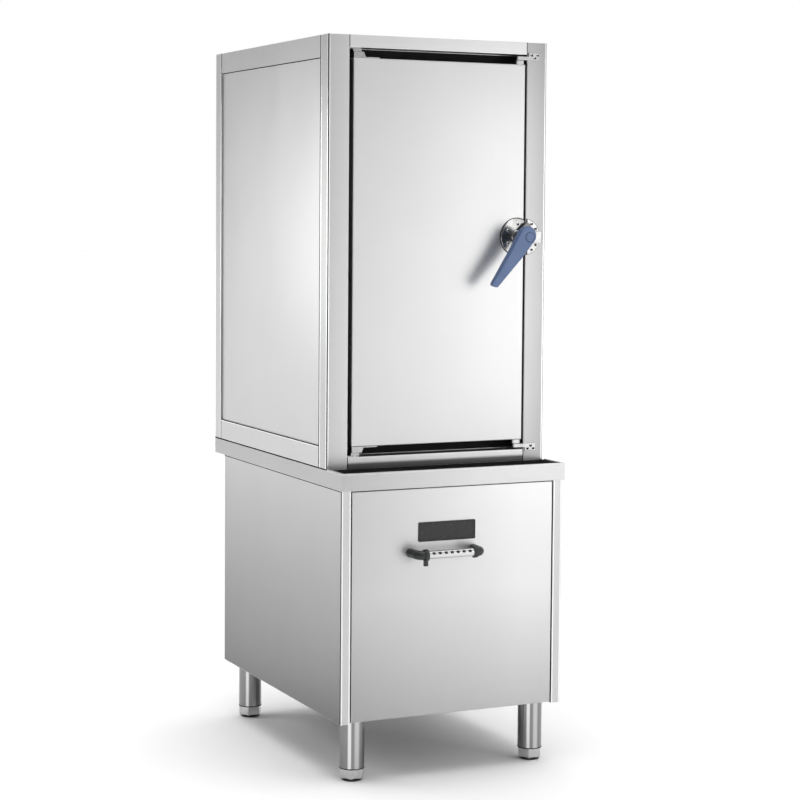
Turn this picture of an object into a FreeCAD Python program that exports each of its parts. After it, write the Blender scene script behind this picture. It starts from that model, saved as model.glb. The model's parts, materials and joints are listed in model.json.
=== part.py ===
"""Commercial steam cabinet: a tall insulated steam chamber standing on a worktop-covered boiler base.

Frame: millimetres, +X to the right of the front, +Y to the back, +Z up. The origin is the bottom
centre of the whole cabinet, on the floor between its four levelling feet.
"""
import FreeCAD, Part
import math
import os
import re
import Sketcher

DRIVING = {
    # Worktop and base
    "countertop_width": 600, "countertop_depth": 870, "countertop_thickness": 39,
    "countertop_board": 18, "marine_edge_width": 8, "marine_edge_height": 3,
    "ground_clearance": 148, "base_height": 558, "base_side_inset": 3,
    "base_front_inset": 10, "base_rear_inset": 70, "base_stile_width": 24, "base_return": 20,
    "skin": 1.5, "floor_plate": 3, "floor_raise": 4, "floor_setback": 8, "fold_radius": 2,
    # Body of the steam cabinet
    "cabinet_width": 586, "cabinet_height": 1038, "cabinet_inset": 1, "cabinet_setback": 96,
    "stile_width": 54, "frame_depth": 50, "rail_height": 30,
    "side_rail_height": 56, "side_rail_depth": 30, "rear_post_length": 44,
    "panel_recess": 3, "panel_return": 15, "cover_recess": 2,
    # Steam chamber
    "mouth_side_margin": 38, "mouth_end_margin": 64, "rear_wall": 74, "flange_lap": 12,
    "gasket_sheet": 3, "gasket_bead": 6, "gasket_play": 0.3, "gasket_inset": 1,
    "insulation_play": 0.5,
    "shelf_count": 5, "shelf_first": 110, "shelf_pitch": 150, "shelf_end_gap": 25,
    "shelf_play": 3, "shelf_lip": 12, "runner_leg": 16,
    "slot_length": 104, "slot_width": 12, "slot_pitch": 78, "slot_rows": 7,
    # Door
    "door_thickness": 50, "door_proud": 6, "door_side_gap": 8, "door_end_gap": 25,
    "door_lip": 14, "door_lip_play": 0.2,
    # Corner pivot hinges
    "pivot_inset": 12, "pivot_radius": 5, "running_play": 0.06,
    "strap_length": 67, "strap_thickness": 3, "strap_setback": 4, "hinge_depth": 32,
    "hinge_inset": 2, "hinge_block_width": 31, "hinge_block_height": 12, "hinge_block_slant": 5,
    "hinge_step": 0.6, "bracket_lug": 22, "bracket_lug_depth": 22, "bracket_lug_nose": 5.5,
    "bracket_cap": 3, "bracket_edge": 2, "pin_tip_gap": 1,
    # Corner guides on the latch side
    "guide_block_width": 22, "guide_block_height": 10, "guide_block_depth": 26,
    "guide_inset": 2, "guide_play": 1, "tongue_height": 9, "tongue_reach": 30,
    "tongue_depth": 8, "leaf_width": 30, "leaf_height": 18, "leaf_thickness": 4,
    "leaf_gap": 3, "leaf_radius": 3, "leaf_screw_near": 7.5, "leaf_screw_middle": 16.5,
    "leaf_screw_far": 24, "leaf_screw_low": 5.5, "leaf_screw_high": 12.5,
    # Lever latch
    "latch_setback": 19, "latch_height": 504, "disc_radius": 46, "disc_thickness": 4,
    "disc_bevel": 1.5, "disc_trim": 1, "disc_screw_circle": 31.5, "collar_radius": 17,
    "collar_height": 2.5, "spindle_radius": 6, "spindle_inside": 24, "spindle_grip": 12,
    "nut_radius": 11, "nut_height": 6, "nut_gap": 0.3, "latch_pocket": 8,
    "cam_base": 0.8, "cam_thickness": 9, "cam_reach": 42, "cam_root": 11, "cam_tip": 8,
    "cam_hub_radius": 16, "cam_hub_length": 12, "cam_neck_radius": 12,
    "nose_angle": 50, "lever_out": 69, "lever_thickness": 16, "lever_thinning": 6,
    "lever_head_radius": 23, "lever_head_shift": 6, "lever_shoulder_angle": 10.6,
    "lever_waist": 64, "lever_waist_left": 17.4, "lever_straight": 50,
    "lever_long_side": 157, "lever_tip_left": 6, "lever_short_side": 150, "lever_tip_right": 12,
    "lever_tip_radius": 5, "lever_edge_radius": 3.5,
    "cap_radius": 11.7, "cap_recess": 1.2, "cap_proud": 0.4, "cap_play": 0.15,
    "keeper_shift": 20, "keeper_thickness": 6, "keeper_slot": 2, "keeper_screw_circle": 38.5,
    "keeper_low_angle": 32, "keeper_high_angle": 56,
    "bridge_height": 28, "bridge_thickness": 7, "bridge_play": 3.5, "bridge_inner": 22,
    "bridge_setback": 8, "bridge_length": 34, "bridge_radius": 9, "bridge_lip_radius": 3,
    # Screws
    "screw_head_radius": 3.6, "screw_head_height": 2, "screw_crown": 2.4, "screw_radius": 1.9,
    "screw_length": 9, "screw_play": 0.1, "socket_radius": 1.3, "socket_depth": 1.2,
    # Front flap, display and pull handle
    "flap_thickness": 20, "flap_gap": 3, "flap_pivot_height": 9, "flap_pin_radius": 4,
    "flap_pin_head": 7, "flap_pin_head_height": 3, "flap_pin_reach": 12,
    "display_width": 152, "display_height": 47, "display_left": -96, "display_bottom": 574,
    "display_proud": 2.5, "display_step": 4, "display_box_depth": 30, "display_radius": 3,
    "screen_sink": 1.5, "screen_thickness": 1,
    "handle_middle": -32, "handle_level": 549, "handle_half_length": 69, "handle_radius": 10,
    "handle_wall": 1.5, "handle_standoff": 45, "elbow_radius": 12.5, "elbow_angle": 85,
    "handle_slot": 8, "handle_slot_height": 5, "handle_slot_rise": 2,
    "handle_slot_pitch": 16, "handle_slot_count": 7,
    "mount_radius": 11, "mount_collar_radius": 14, "mount_collar": 8, "mount_overlap": 1,
    "mount_tab_drop": 26, "mount_tab_width": 9, "mount_tab_thickness": 8,
    # Boiler and its fittings
    "tank_width": 360, "tank_depth": 400, "tank_height": 250, "tank_left": -240,
    "tank_rear_gap": 40, "tank_wall": 2, "tank_lift": 16, "tank_rim": 12,
    "skid_inset": 30, "skid_width": 30,
    "steam_pipe_radius": 21, "steam_pipe_bore": 19, "steam_pipe_rear": 160, "steam_rise": 60,
    "steam_cap": 3, "steam_flange": 33, "steam_flange_height": 3, "pipe_play": 1,
    "steam_outlet_radius": 6, "steam_outlet_drop": 20,
    "element_radius": 6, "element_half_span": 26, "element_length": 300, "element_bend": 20,
    "element_level": 60, "element_pitch": 95, "element_plate_width": 44,
    "element_plate_height": 88, "element_plate_thickness": 5,
    "feed_level": 205, "feed_offset": 70, "feed_radius": 10, "feed_bore": 6, "feed_outside": 18,
    "valve_block": 28, "valve_ear": 3, "valve_gap": 8, "ear_depth": 14, "float_drop": 22,
    "float_arm_length": 120, "float_arm_radius": 3, "float_ball_radius": 32, "float_rest_angle": 22,
    "float_pin_radius": 3, "float_eye_radius": 7, "float_eye_width": 7.4,
    "drain_radius": 13, "drain_bore": 10, "drain_run": 125, "drain_level": 34,
    "drain_offset": 330, "drain_bend": 34, "drain_valve_size": 40, "drain_valve_gap": 30,
    "drain_stem_radius": 4, "drain_stem_depth": 8, "drain_lever_length": 95,
    "drain_lever_width": 16, "drain_lever_thickness": 4, "drain_lever_gap": 1, "drain_tail": 30,
    "control_width": 150, "control_depth": 240, "control_height": 260, "control_lift": 140,
    "control_setback": 70, "control_radius": 4,
    "gland_radius": 14, "gland_bore": 6, "gland_length": 20, "gland_sleeve": 10,
    "gland_nut": 6, "gland_tip": 9, "gland_offset": 90, "rear_fitting_level": 60,
    "vent_radius": 16, "vent_bore": 13, "vent_reach": 30, "vent_drop": 70, "vent_flange": 28,
    "vent_flange_thickness": 2,
    "louvre_length": 110, "louvre_height": 8, "louvre_pitch": 26, "louvre_rows": 6,
    "louvre_level": 330,
    # Legs
    "leg_inset": 54, "leg_radius": 30, "leg_wall": 3, "leg_plate_size": 96,
    "leg_plate": 3, "leg_bush": 20,
    "foot_height": 24, "foot_flats": 54, "foot_bevel": 3, "foot_stem_radius": 10,
    "foot_stem_length": 60, "pad_height": 5, "pad_radius": 25, "pad_taper": 2,
}

PLACES = {
    "handle_reach": "handle_standoff + mount_collar_radius - base_front_inset",
    "countertop_left": "-countertop_width / 2",
    "countertop_front": "handle_reach - (countertop_depth + handle_reach + vent_reach) / 2",
    "countertop_back": "countertop_front + countertop_depth",
    "base_top": "ground_clearance + base_height",
    "countertop_top": "base_top + countertop_thickness",
    "cabinet_left": "countertop_left + cabinet_inset",
    "cabinet_middle": "cabinet_left + cabinet_width / 2",
    "cabinet_front": "countertop_front + cabinet_setback",
    "cabinet_depth": "countertop_depth - cabinet_setback",
    "cabinet_top": "countertop_top + cabinet_height",
    "opening_left": "cabinet_left + stile_width",
    "opening_width": "cabinet_width - 2 * stile_width",
    "opening_right": "opening_left + opening_width",
    "opening_bottom": "countertop_top + rail_height",
    "opening_height": "cabinet_height - 2 * rail_height",
    "opening_top": "opening_bottom + opening_height",
    "opening_middle": "opening_bottom + opening_height / 2",
    "door_left": "opening_left + door_side_gap",
    "door_width": "opening_width - 2 * door_side_gap",
    "door_right": "door_left + door_width",
    "door_bottom": "opening_bottom + door_end_gap",
    "door_height": "opening_height - 2 * door_end_gap",
    "door_top": "door_bottom + door_height",
    "door_front": "cabinet_front - door_proud",
    "flange_front": "cabinet_front + frame_depth",
    "gasket_height": "frame_depth + door_proud - door_thickness - gasket_play",
    "mouth_width": "opening_width - 2 * mouth_side_margin",
    "mouth_height": "opening_height - 2 * mouth_end_margin",
    "mouth_left": "cabinet_middle - mouth_width / 2",
    "mouth_bottom": "opening_middle - mouth_height / 2",
    "mouth_top": "mouth_bottom + mouth_height",
    "chamber_depth": "cabinet_depth - frame_depth - rear_wall",
    "chamber_back": "flange_front + chamber_depth",
    "shelf_depth": "chamber_depth - 2 * shelf_end_gap",
    "shelf_front": "flange_front + shelf_end_gap",
    "pivot_across": "door_left + pivot_inset",
    "pivot_deep": "door_front + pivot_inset",
    "side_rail_length": "cabinet_depth - frame_depth - rear_post_length",
    "panel_front": "countertop_back - panel_recess - panel_return",
    "vent_height": "mouth_top - vent_drop",
    "latch_across": "door_right - latch_setback",
    "latch_level": "door_bottom + latch_height",
    "disc_face": "disc_thickness + collar_height",
    "cam_back": "disc_face + cam_base",
    "cam_face": "cam_back + cam_thickness",
    "lever_back": "lever_out - lever_thickness",
    "bridge_under": "door_proud + cam_face + bridge_play",
    "bridge_face": "bridge_under + bridge_thickness",
    "keeper_across": "latch_across + keeper_shift",
    "keeper_edge": "opening_right + leaf_gap - keeper_across",
    "hinge_level": "door_top + strap_thickness + hinge_block_height + hinge_step",
    "guide_level": "door_top + guide_block_height + guide_play",
    "base_left": "countertop_left + base_side_inset",
    "base_width": "countertop_width - 2 * base_side_inset",
    "base_right": "base_left + base_width",
    "base_front": "countertop_front + base_front_inset",
    "base_depth": "countertop_depth - base_front_inset - base_rear_inset",
    "base_back": "base_front + base_depth",
    "flap_left": "base_left + base_stile_width + flap_gap",
    "flap_width": "base_width - 2 * (base_stile_width + flap_gap)",
    "flap_bottom": "ground_clearance + flap_gap",
    "flap_height": "base_height - 2 * flap_gap",
    "floor_top": "ground_clearance + floor_raise + floor_plate",
    "floor_front": "base_front + flap_thickness + floor_setback",
    "back_plate": "base_back - 2 * skin",
    "tank_front": "base_back - tank_rear_gap - tank_depth",
    "tank_bottom": "floor_top + tank_lift",
    "tank_top": "tank_bottom + tank_height",
    "steam_across": "cabinet_middle",
    "steam_deep": "chamber_back - steam_pipe_rear",
    "steam_foot": "tank_top + tank_wall",
    "steam_height": "mouth_bottom + steam_rise - steam_foot",
    "feed_across": "tank_left + feed_offset",
    "feed_height": "tank_bottom + feed_level",
    "float_across": "feed_across",
    "valve_face": "-(tank_rear_gap + tank_wall + valve_block)",
    "float_deep": "base_back + valve_face + ear_depth / 2",
    "float_height": "feed_height - float_drop",
    "drain_across": "tank_left + drain_offset",
    "drain_height": "tank_bottom + drain_level",
    "drain_valve_deep": "tank_front - drain_valve_gap - drain_valve_size / 2",
    "drain_drop": "drain_height - ground_clearance + drain_tail",
    "leg_top": "ground_clearance + floor_raise",
    "leg_bottom": "foot_height + pad_height",
    "leg_left": "base_left + leg_inset",
    "leg_right": "base_right - leg_inset",
    "leg_front": "base_front + leg_inset",
    "leg_back": "base_back - leg_inset",
}

FRONT, FLOOR, SIDE = "XZ_Plane", "XY_Plane", "YZ_Plane"

model = FreeCAD.newDocument("steam_cabinet")
sizes = model.addObject("Spreadsheet::Sheet", "sizes")
places = model.addObject("Spreadsheet::Sheet", "places")


def formula(text):
    """The text with each word turned into its cell, in the sizes or in the places."""
    def cell(match):
        word = match.group(0)
        if word in DRIVING:
            return f"sizes.{word}"
        return f"places.{word}" if word in PLACES else word
    return re.sub(r"[a-z][a-z_]+", cell, text)


def fill_sheets():
    """Driving sizes as plain numbers, and the places that follow from them as formulas."""
    for row, (alias, number) in enumerate(DRIVING.items(), start=1):
        sizes.set(f"A{row}", alias)
        sizes.set(f"B{row}", str(number))
        sizes.setAlias(f"B{row}", alias)
    model.recompute()
    for row, alias in enumerate(PLACES, start=1):
        places.set(f"A{row}", alias)
        places.setAlias(f"B{row}", alias)
    for row, text in enumerate(PLACES.values(), start=1):
        places.set(f"B{row}", "=" + formula(text).replace("places.", ""))
    model.recompute()


def value(text):
    """What a formula comes to."""
    return float(sizes.evalExpression(formula(text)))


def drive(thing, prop, text):
    """Bind a property to a formula."""
    thing.setExpression(prop, formula(text))


def stand(thing, across, deep, height):
    """Bind where a piece stands."""
    drive(thing, "Placement.Base.x", across)
    drive(thing, "Placement.Base.y", deep)
    drive(thing, "Placement.Base.z", height)
    return thing


def new_body(name, across="0", deep="0", height="0"):
    """An empty body with its own label, at its place."""
    body = model.addObject("PartDesign::Body", name)
    body.Label = name
    return stand(body, across, deep, height)


def new_sketch(body, role, start="0"):
    """A sketch on one of the body's origin planes, moved along the plane's world axis."""
    sketch = body.newObject("Sketcher::SketchObject", f"{body.Name}_outline")
    plane = next(item for item in body.Origin.OriginFeatures if item.Role == role)
    sketch.AttachmentSupport = [(plane, "")]
    sketch.MapMode = "FlatFace"
    drive(sketch, "AttachmentOffset.Base.z", f"-({start})" if role == FRONT else start)
    return sketch


def hold(sketch, kind, text, *where):
    """A driven dimension of a sketch."""
    index = sketch.addConstraint(Sketcher.Constraint(kind, *where, value(text)))
    name = f"size_{index}"
    sketch.renameConstraint(index, name)
    drive(sketch, f"Constraints.{name}", text)


def hold_point(sketch, element, point, across, up):
    """Hold a sketch point at its two distances from the sketch's origin."""
    hold(sketch, "DistanceX", across, -1, 1, element, point)
    hold(sketch, "DistanceY", up, -1, 1, element, point)


def polygon(sketch, *corners):
    """A closed outline of straight lines, each corner held by its two distances."""
    spots = [FreeCAD.Vector(value(across), value(up), 0) for across, up in corners]
    first = sketch.GeometryCount
    count = len(spots)
    for number, spot in enumerate(spots):
        sketch.addGeometry(Part.LineSegment(spot, spots[(number + 1) % count]))
    for number, (across, up) in enumerate(corners):
        following = first + (number + 1) % count
        sketch.addConstraint(Sketcher.Constraint("Coincident", first + number, 2, following, 1))
        hold_point(sketch, first + number, 1, across, up)
    return first


def rectangle(sketch, left, low, width, height):
    """A rectangle from its low left corner."""
    right, top = f"({left}) + ({width})", f"({low}) + ({height})"
    return polygon(sketch, (left, low), (right, low), (right, top), (left, top))


def circle(sketch, across, up, radius):
    """A full circle with its centre and radius held."""
    centre = FreeCAD.Vector(value(across), value(up), 0)
    upright = FreeCAD.Vector(0, 0, 1)
    index = sketch.addGeometry(Part.Circle(centre, upright, value(radius)))
    hold_point(sketch, index, 3, across, up)
    hold(sketch, "Radius", radius, index)
    return index


def pad(body, sketch, length):
    """Raise a sketch along its plane's world axis."""
    feature = body.newObject("PartDesign::Pad", f"{body.Name}_pad")
    feature.Profile = sketch
    feature.Reversed = sketch.AttachmentSupport[0][0].Role == FRONT
    drive(feature, "Length", length)
    model.recompute()
    return feature


def cut(body, sketch, length):
    """Cut a sketch away along its plane's world axis, and make sure that it cuts."""
    before = body.Shape.Volume
    feature = body.newObject("PartDesign::Pocket", f"{body.Name}_cut")
    feature.Profile = sketch
    feature.Reversed = sketch.AttachmentSupport[0][0].Role != FRONT
    drive(feature, "Length", length)
    model.recompute()
    if body.Shape.Volume > before - 1e-6:
        raise RuntimeError(f"{body.Label}: a cut takes nothing away")
    return feature


def block(body, role, start, length, left, low, width, height):
    """A rectangular pad."""
    sketch = new_sketch(body, role, start)
    rectangle(sketch, left, low, width, height)
    return pad(body, sketch, length)


def recess(body, role, start, length, left, low, width, height):
    """A rectangular cut."""
    sketch = new_sketch(body, role, start)
    rectangle(sketch, left, low, width, height)
    return cut(body, sketch, length)


def disc(body, role, start, length, across, up, radius):
    """A round pad."""
    sketch = new_sketch(body, role, start)
    circle(sketch, across, up, radius)
    return pad(body, sketch, length)


def bore(body, role, start, length, across, up, radius):
    """A round hole."""
    sketch = new_sketch(body, role, start)
    circle(sketch, across, up, radius)
    return cut(body, sketch, length)


def turn(body, role, *corners):
    """A turned solid: the outline is given as radius and length, about the sketch's upright axis."""
    sketch = new_sketch(body, role)
    polygon(sketch, *corners)
    feature = body.newObject("PartDesign::Revolution", f"{body.Name}_turning")
    feature.Profile = sketch
    feature.ReferenceAxis = (sketch, ["V_Axis"])
    feature.Angle = 360
    model.recompute()
    return feature


def dress(body, kind, radius, wanted):
    """Round or bevel the edges that the test picks."""
    base = body.Tip
    edges = [f"Edge{n}" for n, edge in enumerate(base.Shape.Edges, start=1) if wanted(edge)]
    feature = body.newObject(f"PartDesign::{kind}", f"{body.Name}_{kind.lower()}")
    feature.Base = (base, edges)
    drive(feature, "Radius" if kind == "Fillet" else "Size", radius)
    model.recompute()
    return feature


def near(number, text):
    """Is a coordinate at the place that a formula gives?"""
    return abs(number - value(text)) < 0.01


def runs_along(edge, axis):
    """Is an edge straight and parallel to an axis, 0 to 2?"""
    if not isinstance(edge.Curve, Part.Line):
        return False
    direction = edge.Curve.Direction
    return abs(abs(direction[axis]) - 1) < 1e-6


def mirror(name, source, axis, where):
    """The mirror image of a piece across a plane square to an axis."""
    image = model.addObject("Part::Mirroring", name)
    image.Label = name
    image.Source = source
    image.Normal = tuple(float(item == axis) for item in "xyz")
    drive(image, f"Base.{axis}", where)
    return image


def copy_to(source, across, deep, height):
    """A copy of a piece at another place."""
    link = model.addObject("App::Link", f"{source.Name}_copy")
    link.LinkedObject = source
    return stand(link, across, deep, height)


def group(name, pieces):
    """Several alike or mirrored solids under one name."""
    together = model.addObject("Part::Compound", name)
    together.Label = name
    together.Links = pieces
    return together


def slab(name, across, deep, height, width, length, tall):
    """A plain rectangular solid."""
    box = model.addObject("Part::Box", name)
    box.Label = name
    drive(box, "Length", width)
    drive(box, "Width", length)
    drive(box, "Height", tall)
    return stand(box, across, deep, height)


def rod(name, across, deep, height, radius, length, axis="z"):
    """A plain cylinder that starts at a place and runs along an axis."""
    cylinder = model.addObject("Part::Cylinder", name)
    cylinder.Label = name
    if axis == "y":
        cylinder.Placement.Rotation = FreeCAD.Rotation(FreeCAD.Vector(1, 0, 0), -90)
    drive(cylinder, "Radius", radius)
    drive(cylinder, "Height", length)
    return stand(cylinder, across, deep, height)


def minus(name, whole, *tools):
    """A solid with others taken out of it."""
    for number, tool in enumerate(tools):
        piece = model.addObject("Part::Cut", f"{name}_{number}" if tool is not tools[-1] else name)
        piece.Base = whole
        piece.Tool = tool
        whole = piece
    whole.Label = name
    return whole


def join(name, *pieces):
    """Pieces fused into one solid."""
    whole = model.addObject("Part::MultiFuse", name)
    whole.Label = name
    whole.Shapes = pieces
    return whole


def ring(body, role, start, length, across, up, outer, inner):
    """A round pad with a round hole."""
    sketch = new_sketch(body, role, start)
    circle(sketch, across, up, outer)
    circle(sketch, across, up, inner)
    return pad(body, sketch, length)


def shape(body, role, start, length, *corners):
    """A pad of a polygon."""
    sketch = new_sketch(body, role, start)
    polygon(sketch, *corners)
    return pad(body, sketch, length)


def bent_path(sketch, radius, *stops):
    """A path of straight runs with round bends, each stop held by its two distances."""
    spots = [FreeCAD.Vector(value(across), value(up), 0) for across, up in stops]
    bend = value(radius)
    begin = spots[0]
    bends = []
    for number in range(1, len(spots) - 1):
        before = (spots[number] - spots[number - 1]).normalize()
        after = (spots[number + 1] - spots[number]).normalize()
        side = 1 if before.cross(after).z > 0 else -1
        cut_back = bend * math.tan(before.getAngle(after) / 2)
        enter, leave = spots[number] - before * cut_back, spots[number] + after * cut_back
        centre = enter + FreeCAD.Vector(-before.y, before.x, 0) * bend * side
        first, last = (enter, leave) if side > 0 else (leave, enter)
        angles = [math.atan2(spot.y - centre.y, spot.x - centre.x) for spot in (first, last)]
        run = sketch.addGeometry(Part.LineSegment(begin, enter))
        round_bend = Part.Circle(centre, FreeCAD.Vector(0, 0, 1), bend)
        arc = sketch.addGeometry(Part.ArcOfCircle(round_bend, *angles))
        bends.append((run, arc, side, number))
        begin = leave
    line = sketch.addGeometry(Part.LineSegment(begin, spots[-1]))
    hold_point(sketch, bends[0][0], 1, *stops[0])
    hold_point(sketch, line, 2, *stops[-1])
    runs = [item[0] for item in bends] + [line]
    for order, (run, arc, side, number) in enumerate(bends):
        near_end, far_end = (1, 2) if side > 0 else (2, 1)
        following = runs[order + 1]
        sketch.addConstraint(Sketcher.Constraint("Tangent", run, 2, arc, near_end))
        sketch.addConstraint(Sketcher.Constraint("Tangent", arc, far_end, following, 1))
        hold(sketch, "Radius", radius, arc)
        mark = sketch.addGeometry(Part.Point(spots[number]), True)
        hold_point(sketch, mark, 1, *stops[number])
        sketch.addConstraint(Sketcher.Constraint("PointOnObject", mark, 1, run))
        sketch.addConstraint(Sketcher.Constraint("PointOnObject", mark, 1, following))


def sweep(body, profile, spine):
    """Carry a profile along a path."""
    model.recompute()
    feature = body.newObject("PartDesign::AdditivePipe", f"{body.Name}_bend")
    feature.Profile = profile
    feature.Spine = (spine, [])
    model.recompute()
    return feature


def repeat(body, feature, role, pitch, count):
    """Repeat a cut in even steps along one of the body's axes."""
    before = body.Shape.Volume
    pattern = body.newObject("PartDesign::LinearPattern", f"{body.Name}_row")
    pattern.Originals = [feature]
    axis = next(item for item in body.Origin.OriginFeatures if item.Role == role)
    pattern.Direction = (axis, [""])
    drive(pattern, "Length", f"{pitch} * ({count} - 1)")
    drive(pattern, "Occurrences", count)
    body.Tip = pattern
    model.recompute()
    if body.Shape.Volume > before - 1e-6:
        raise RuntimeError(f"{body.Label}: a pattern takes nothing away")
    return pattern


def tilt(body, axis, angle):
    """Turn a piece about its own place."""
    body.Placement.Rotation = FreeCAD.Rotation(FreeCAD.Vector(*axis), value(angle))
    drive(body, "Placement.Rotation.Angle", angle)


fill_sheets()
finished = []


def finish(piece):
    """Keep a finished piece for the checks and the export."""
    finished.append(piece)
    return piece


# Screws: one domed socket screw, with the holes that take it
def screw_body(name):
    """A domed screw along Y, its seat at the local origin."""
    body = new_body(name)
    turn(body, FLOOR,
         ("0", "socket_depth - screw_head_height"),
         ("socket_radius", "socket_depth - screw_head_height"),
         ("socket_radius", "-screw_head_height"),
         ("screw_crown", "-screw_head_height"),
         ("screw_head_radius", "-screw_head_height / 3"),
         ("screw_head_radius", "0"),
         ("screw_radius", "0"),
         ("screw_radius", "screw_length"),
         ("0", "screw_length"))
    return body


def on_circle(radius, angle):
    """The two distances of a spot on a circle."""
    return f"{radius} * cos({angle} * 1 deg)", f"{radius} * sin({angle} * 1 deg)"


DISC_SPOTS = [on_circle("disc_screw_circle", angle) for angle in ("90", "150", "210", "270")]
KEEPER_SPOTS = [on_circle("keeper_screw_circle", angle)
                for angle in ("keeper_low_angle", "keeper_high_angle")]
KEEPER_SPOTS += [(across, f"-({up})") for across, up in KEEPER_SPOTS]
LEAF_SPOTS = [("leaf_gap + leaf_screw_near", "leaf_screw_high"),
              ("leaf_gap + leaf_screw_middle", "leaf_screw_low"),
              ("leaf_gap + leaf_screw_far", "leaf_screw_high")]


def drill(body, start, length, spots):
    """Clearance holes for the screws."""
    sketch = new_sketch(body, FRONT, start)
    for across, up in spots:
        circle(sketch, across, up, "screw_radius + screw_play")
    return cut(body, sketch, length)


# Frame of the steam cabinet: folded box-section stiles and posts, and rails between them
left_stile = new_body("left_stile", "cabinet_left", "cabinet_front", "countertop_top")
block(left_stile, FLOOR, "0", "cabinet_height", "0", "0", "stile_width", "frame_depth")
dress(left_stile, "Fillet", "fold_radius",
      lambda edge: runs_along(edge, 2) and near(edge.BoundBox.YMax, "0"))
recess(left_stile, FLOOR, "0", "cabinet_height - skin", "skin", "skin",
       "stile_width - 2 * skin", "frame_depth - 2 * skin")

right_stile = mirror("right_stile", left_stile, "x", "cabinet_middle")
stile_holes = []
for across, up in KEEPER_SPOTS:
    stile_holes.append(rod("keeper_hole", f"keeper_across + {across}", "cabinet_front",
                           f"latch_level + {up}", "screw_radius + screw_play", "skin", "y"))
for across, up in LEAF_SPOTS:
    for level in (f"guide_level + {up}", f"2 * opening_middle - guide_level - {up}"):
        stile_holes.append(rod("leaf_hole", f"opening_right + {across}", "cabinet_front",
                               level, "screw_radius + screw_play", "skin", "y"))
drilled_stile = minus("drilled_stile", right_stile, group("stile_holes", stile_holes))
finish(group("front_stiles", [left_stile, drilled_stile]))

low_rail = new_body("low_rail", "opening_left", "cabinet_front", "countertop_top")
block(low_rail, SIDE, "0", "opening_width", "0", "0", "frame_depth", "rail_height")
recess(low_rail, SIDE, "0", "opening_width", "skin", "skin",
       "frame_depth - 2 * skin", "rail_height - 2 * skin")
high_rail = copy_to(low_rail, "opening_left", "cabinet_front", "opening_top")
finish(group("front_rails", [low_rail, high_rail]))

left_post = new_body("left_post", "cabinet_left", "countertop_back - rear_post_length",
                     "countertop_top")
block(left_post, FLOOR, "0", "cabinet_height", "0", "0", "side_rail_depth", "rear_post_length")
dress(left_post, "Fillet", "fold_radius",
      lambda edge: runs_along(edge, 2) and near(edge.BoundBox.YMin, "rear_post_length")
      and near(edge.BoundBox.XMin, "0"))
recess(left_post, FLOOR, "0", "cabinet_height - skin", "skin", "skin",
       "side_rail_depth - 2 * skin", "rear_post_length - 2 * skin")
finish(group("rear_posts", [left_post, mirror("right_post", left_post, "x", "cabinet_middle")]))

side_rail = new_body("side_rail", "cabinet_left", "flange_front", "countertop_top")
block(side_rail, FRONT, "0", "side_rail_length", "0", "0", "side_rail_depth", "side_rail_height")
recess(side_rail, FRONT, "0", "side_rail_length", "skin", "skin",
       "side_rail_depth - 2 * skin", "side_rail_height - 2 * skin")
high_side_rail = copy_to(side_rail, "cabinet_left", "flange_front",
                         "cabinet_top - side_rail_height")
left_rails = group("left_rails", [side_rail, high_side_rail])
finish(group("side_rails", [left_rails, mirror("right_rails", left_rails, "x", "cabinet_middle")]))

# Skins of the steam cabinet: recessed side pans, a lid and a back with folded returns
left_panel = new_body("left_panel", "cabinet_left + panel_recess", "flange_front",
                      "countertop_top + side_rail_height")
PANEL_HEIGHT = "cabinet_height - 2 * side_rail_height"
block(left_panel, SIDE, "0", "panel_return", "0", "0", "side_rail_length", PANEL_HEIGHT)
recess(left_panel, SIDE, "skin", "panel_return - skin", "skin", "skin",
       "side_rail_length - 2 * skin", f"{PANEL_HEIGHT} - 2 * skin")
finish(group("side_panels",
             [left_panel, mirror("right_panel", left_panel, "x", "cabinet_middle")]))

COVER_WIDTH = "cabinet_width - 2 * side_rail_depth"
top_cover = new_body("top_cover", "cabinet_left + side_rail_depth", "flange_front",
                     "cabinet_top - cover_recess - panel_return")
block(top_cover, FLOOR, "0", "panel_return", "0", "0", COVER_WIDTH, "panel_front - flange_front")
recess(top_cover, FLOOR, "0", "panel_return - skin", "skin", "skin",
       f"{COVER_WIDTH} - 2 * skin", "panel_front - flange_front - 2 * skin")
finish(top_cover)

back_panel = new_body("back_panel", "cabinet_left + side_rail_depth", "panel_front",
                      "countertop_top")
block(back_panel, FRONT, "0", "panel_return", "0", "0", COVER_WIDTH, "cabinet_height")
recess(back_panel, FRONT, "0", "panel_return - skin", "skin", "skin",
       f"{COVER_WIDTH} - 2 * skin", "cabinet_height - 2 * skin")
bore(back_panel, FRONT, "panel_return - skin", "skin", f"({COVER_WIDTH}) / 2",
     "vent_height - countertop_top", "vent_radius + pipe_play")
finish(back_panel)

# Steam chamber: a welded liner with a front flange, its gasket, and the insulation round it
LINER_LEFT = "mouth_left - skin"
LINER_WIDTH = "mouth_width + 2 * skin"
SHEET_FRONT = "flange_front + skin"
SHEET_DEPTH = "chamber_depth - skin"
steam_hole = rod("steam_hole", "steam_across", "steam_deep", "countertop_top",
                 "steam_pipe_radius + pipe_play", "mouth_bottom - countertop_top")
vent_hole = rod("vent_hole", "cabinet_middle", "chamber_back", "vent_height",
                "vent_radius + pipe_play", "countertop_back - chamber_back", "y")
left_sheet = slab("left_sheet", LINER_LEFT, SHEET_FRONT, "mouth_bottom", "skin", SHEET_DEPTH,
                  "mouth_height")
low_sheet = slab("low_sheet", LINER_LEFT, SHEET_FRONT, "mouth_bottom - skin", LINER_WIDTH,
                 SHEET_DEPTH, "skin")
high_sheet = slab("high_sheet", LINER_LEFT, SHEET_FRONT, "mouth_top", LINER_WIDTH,
                  SHEET_DEPTH, "skin")
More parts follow.
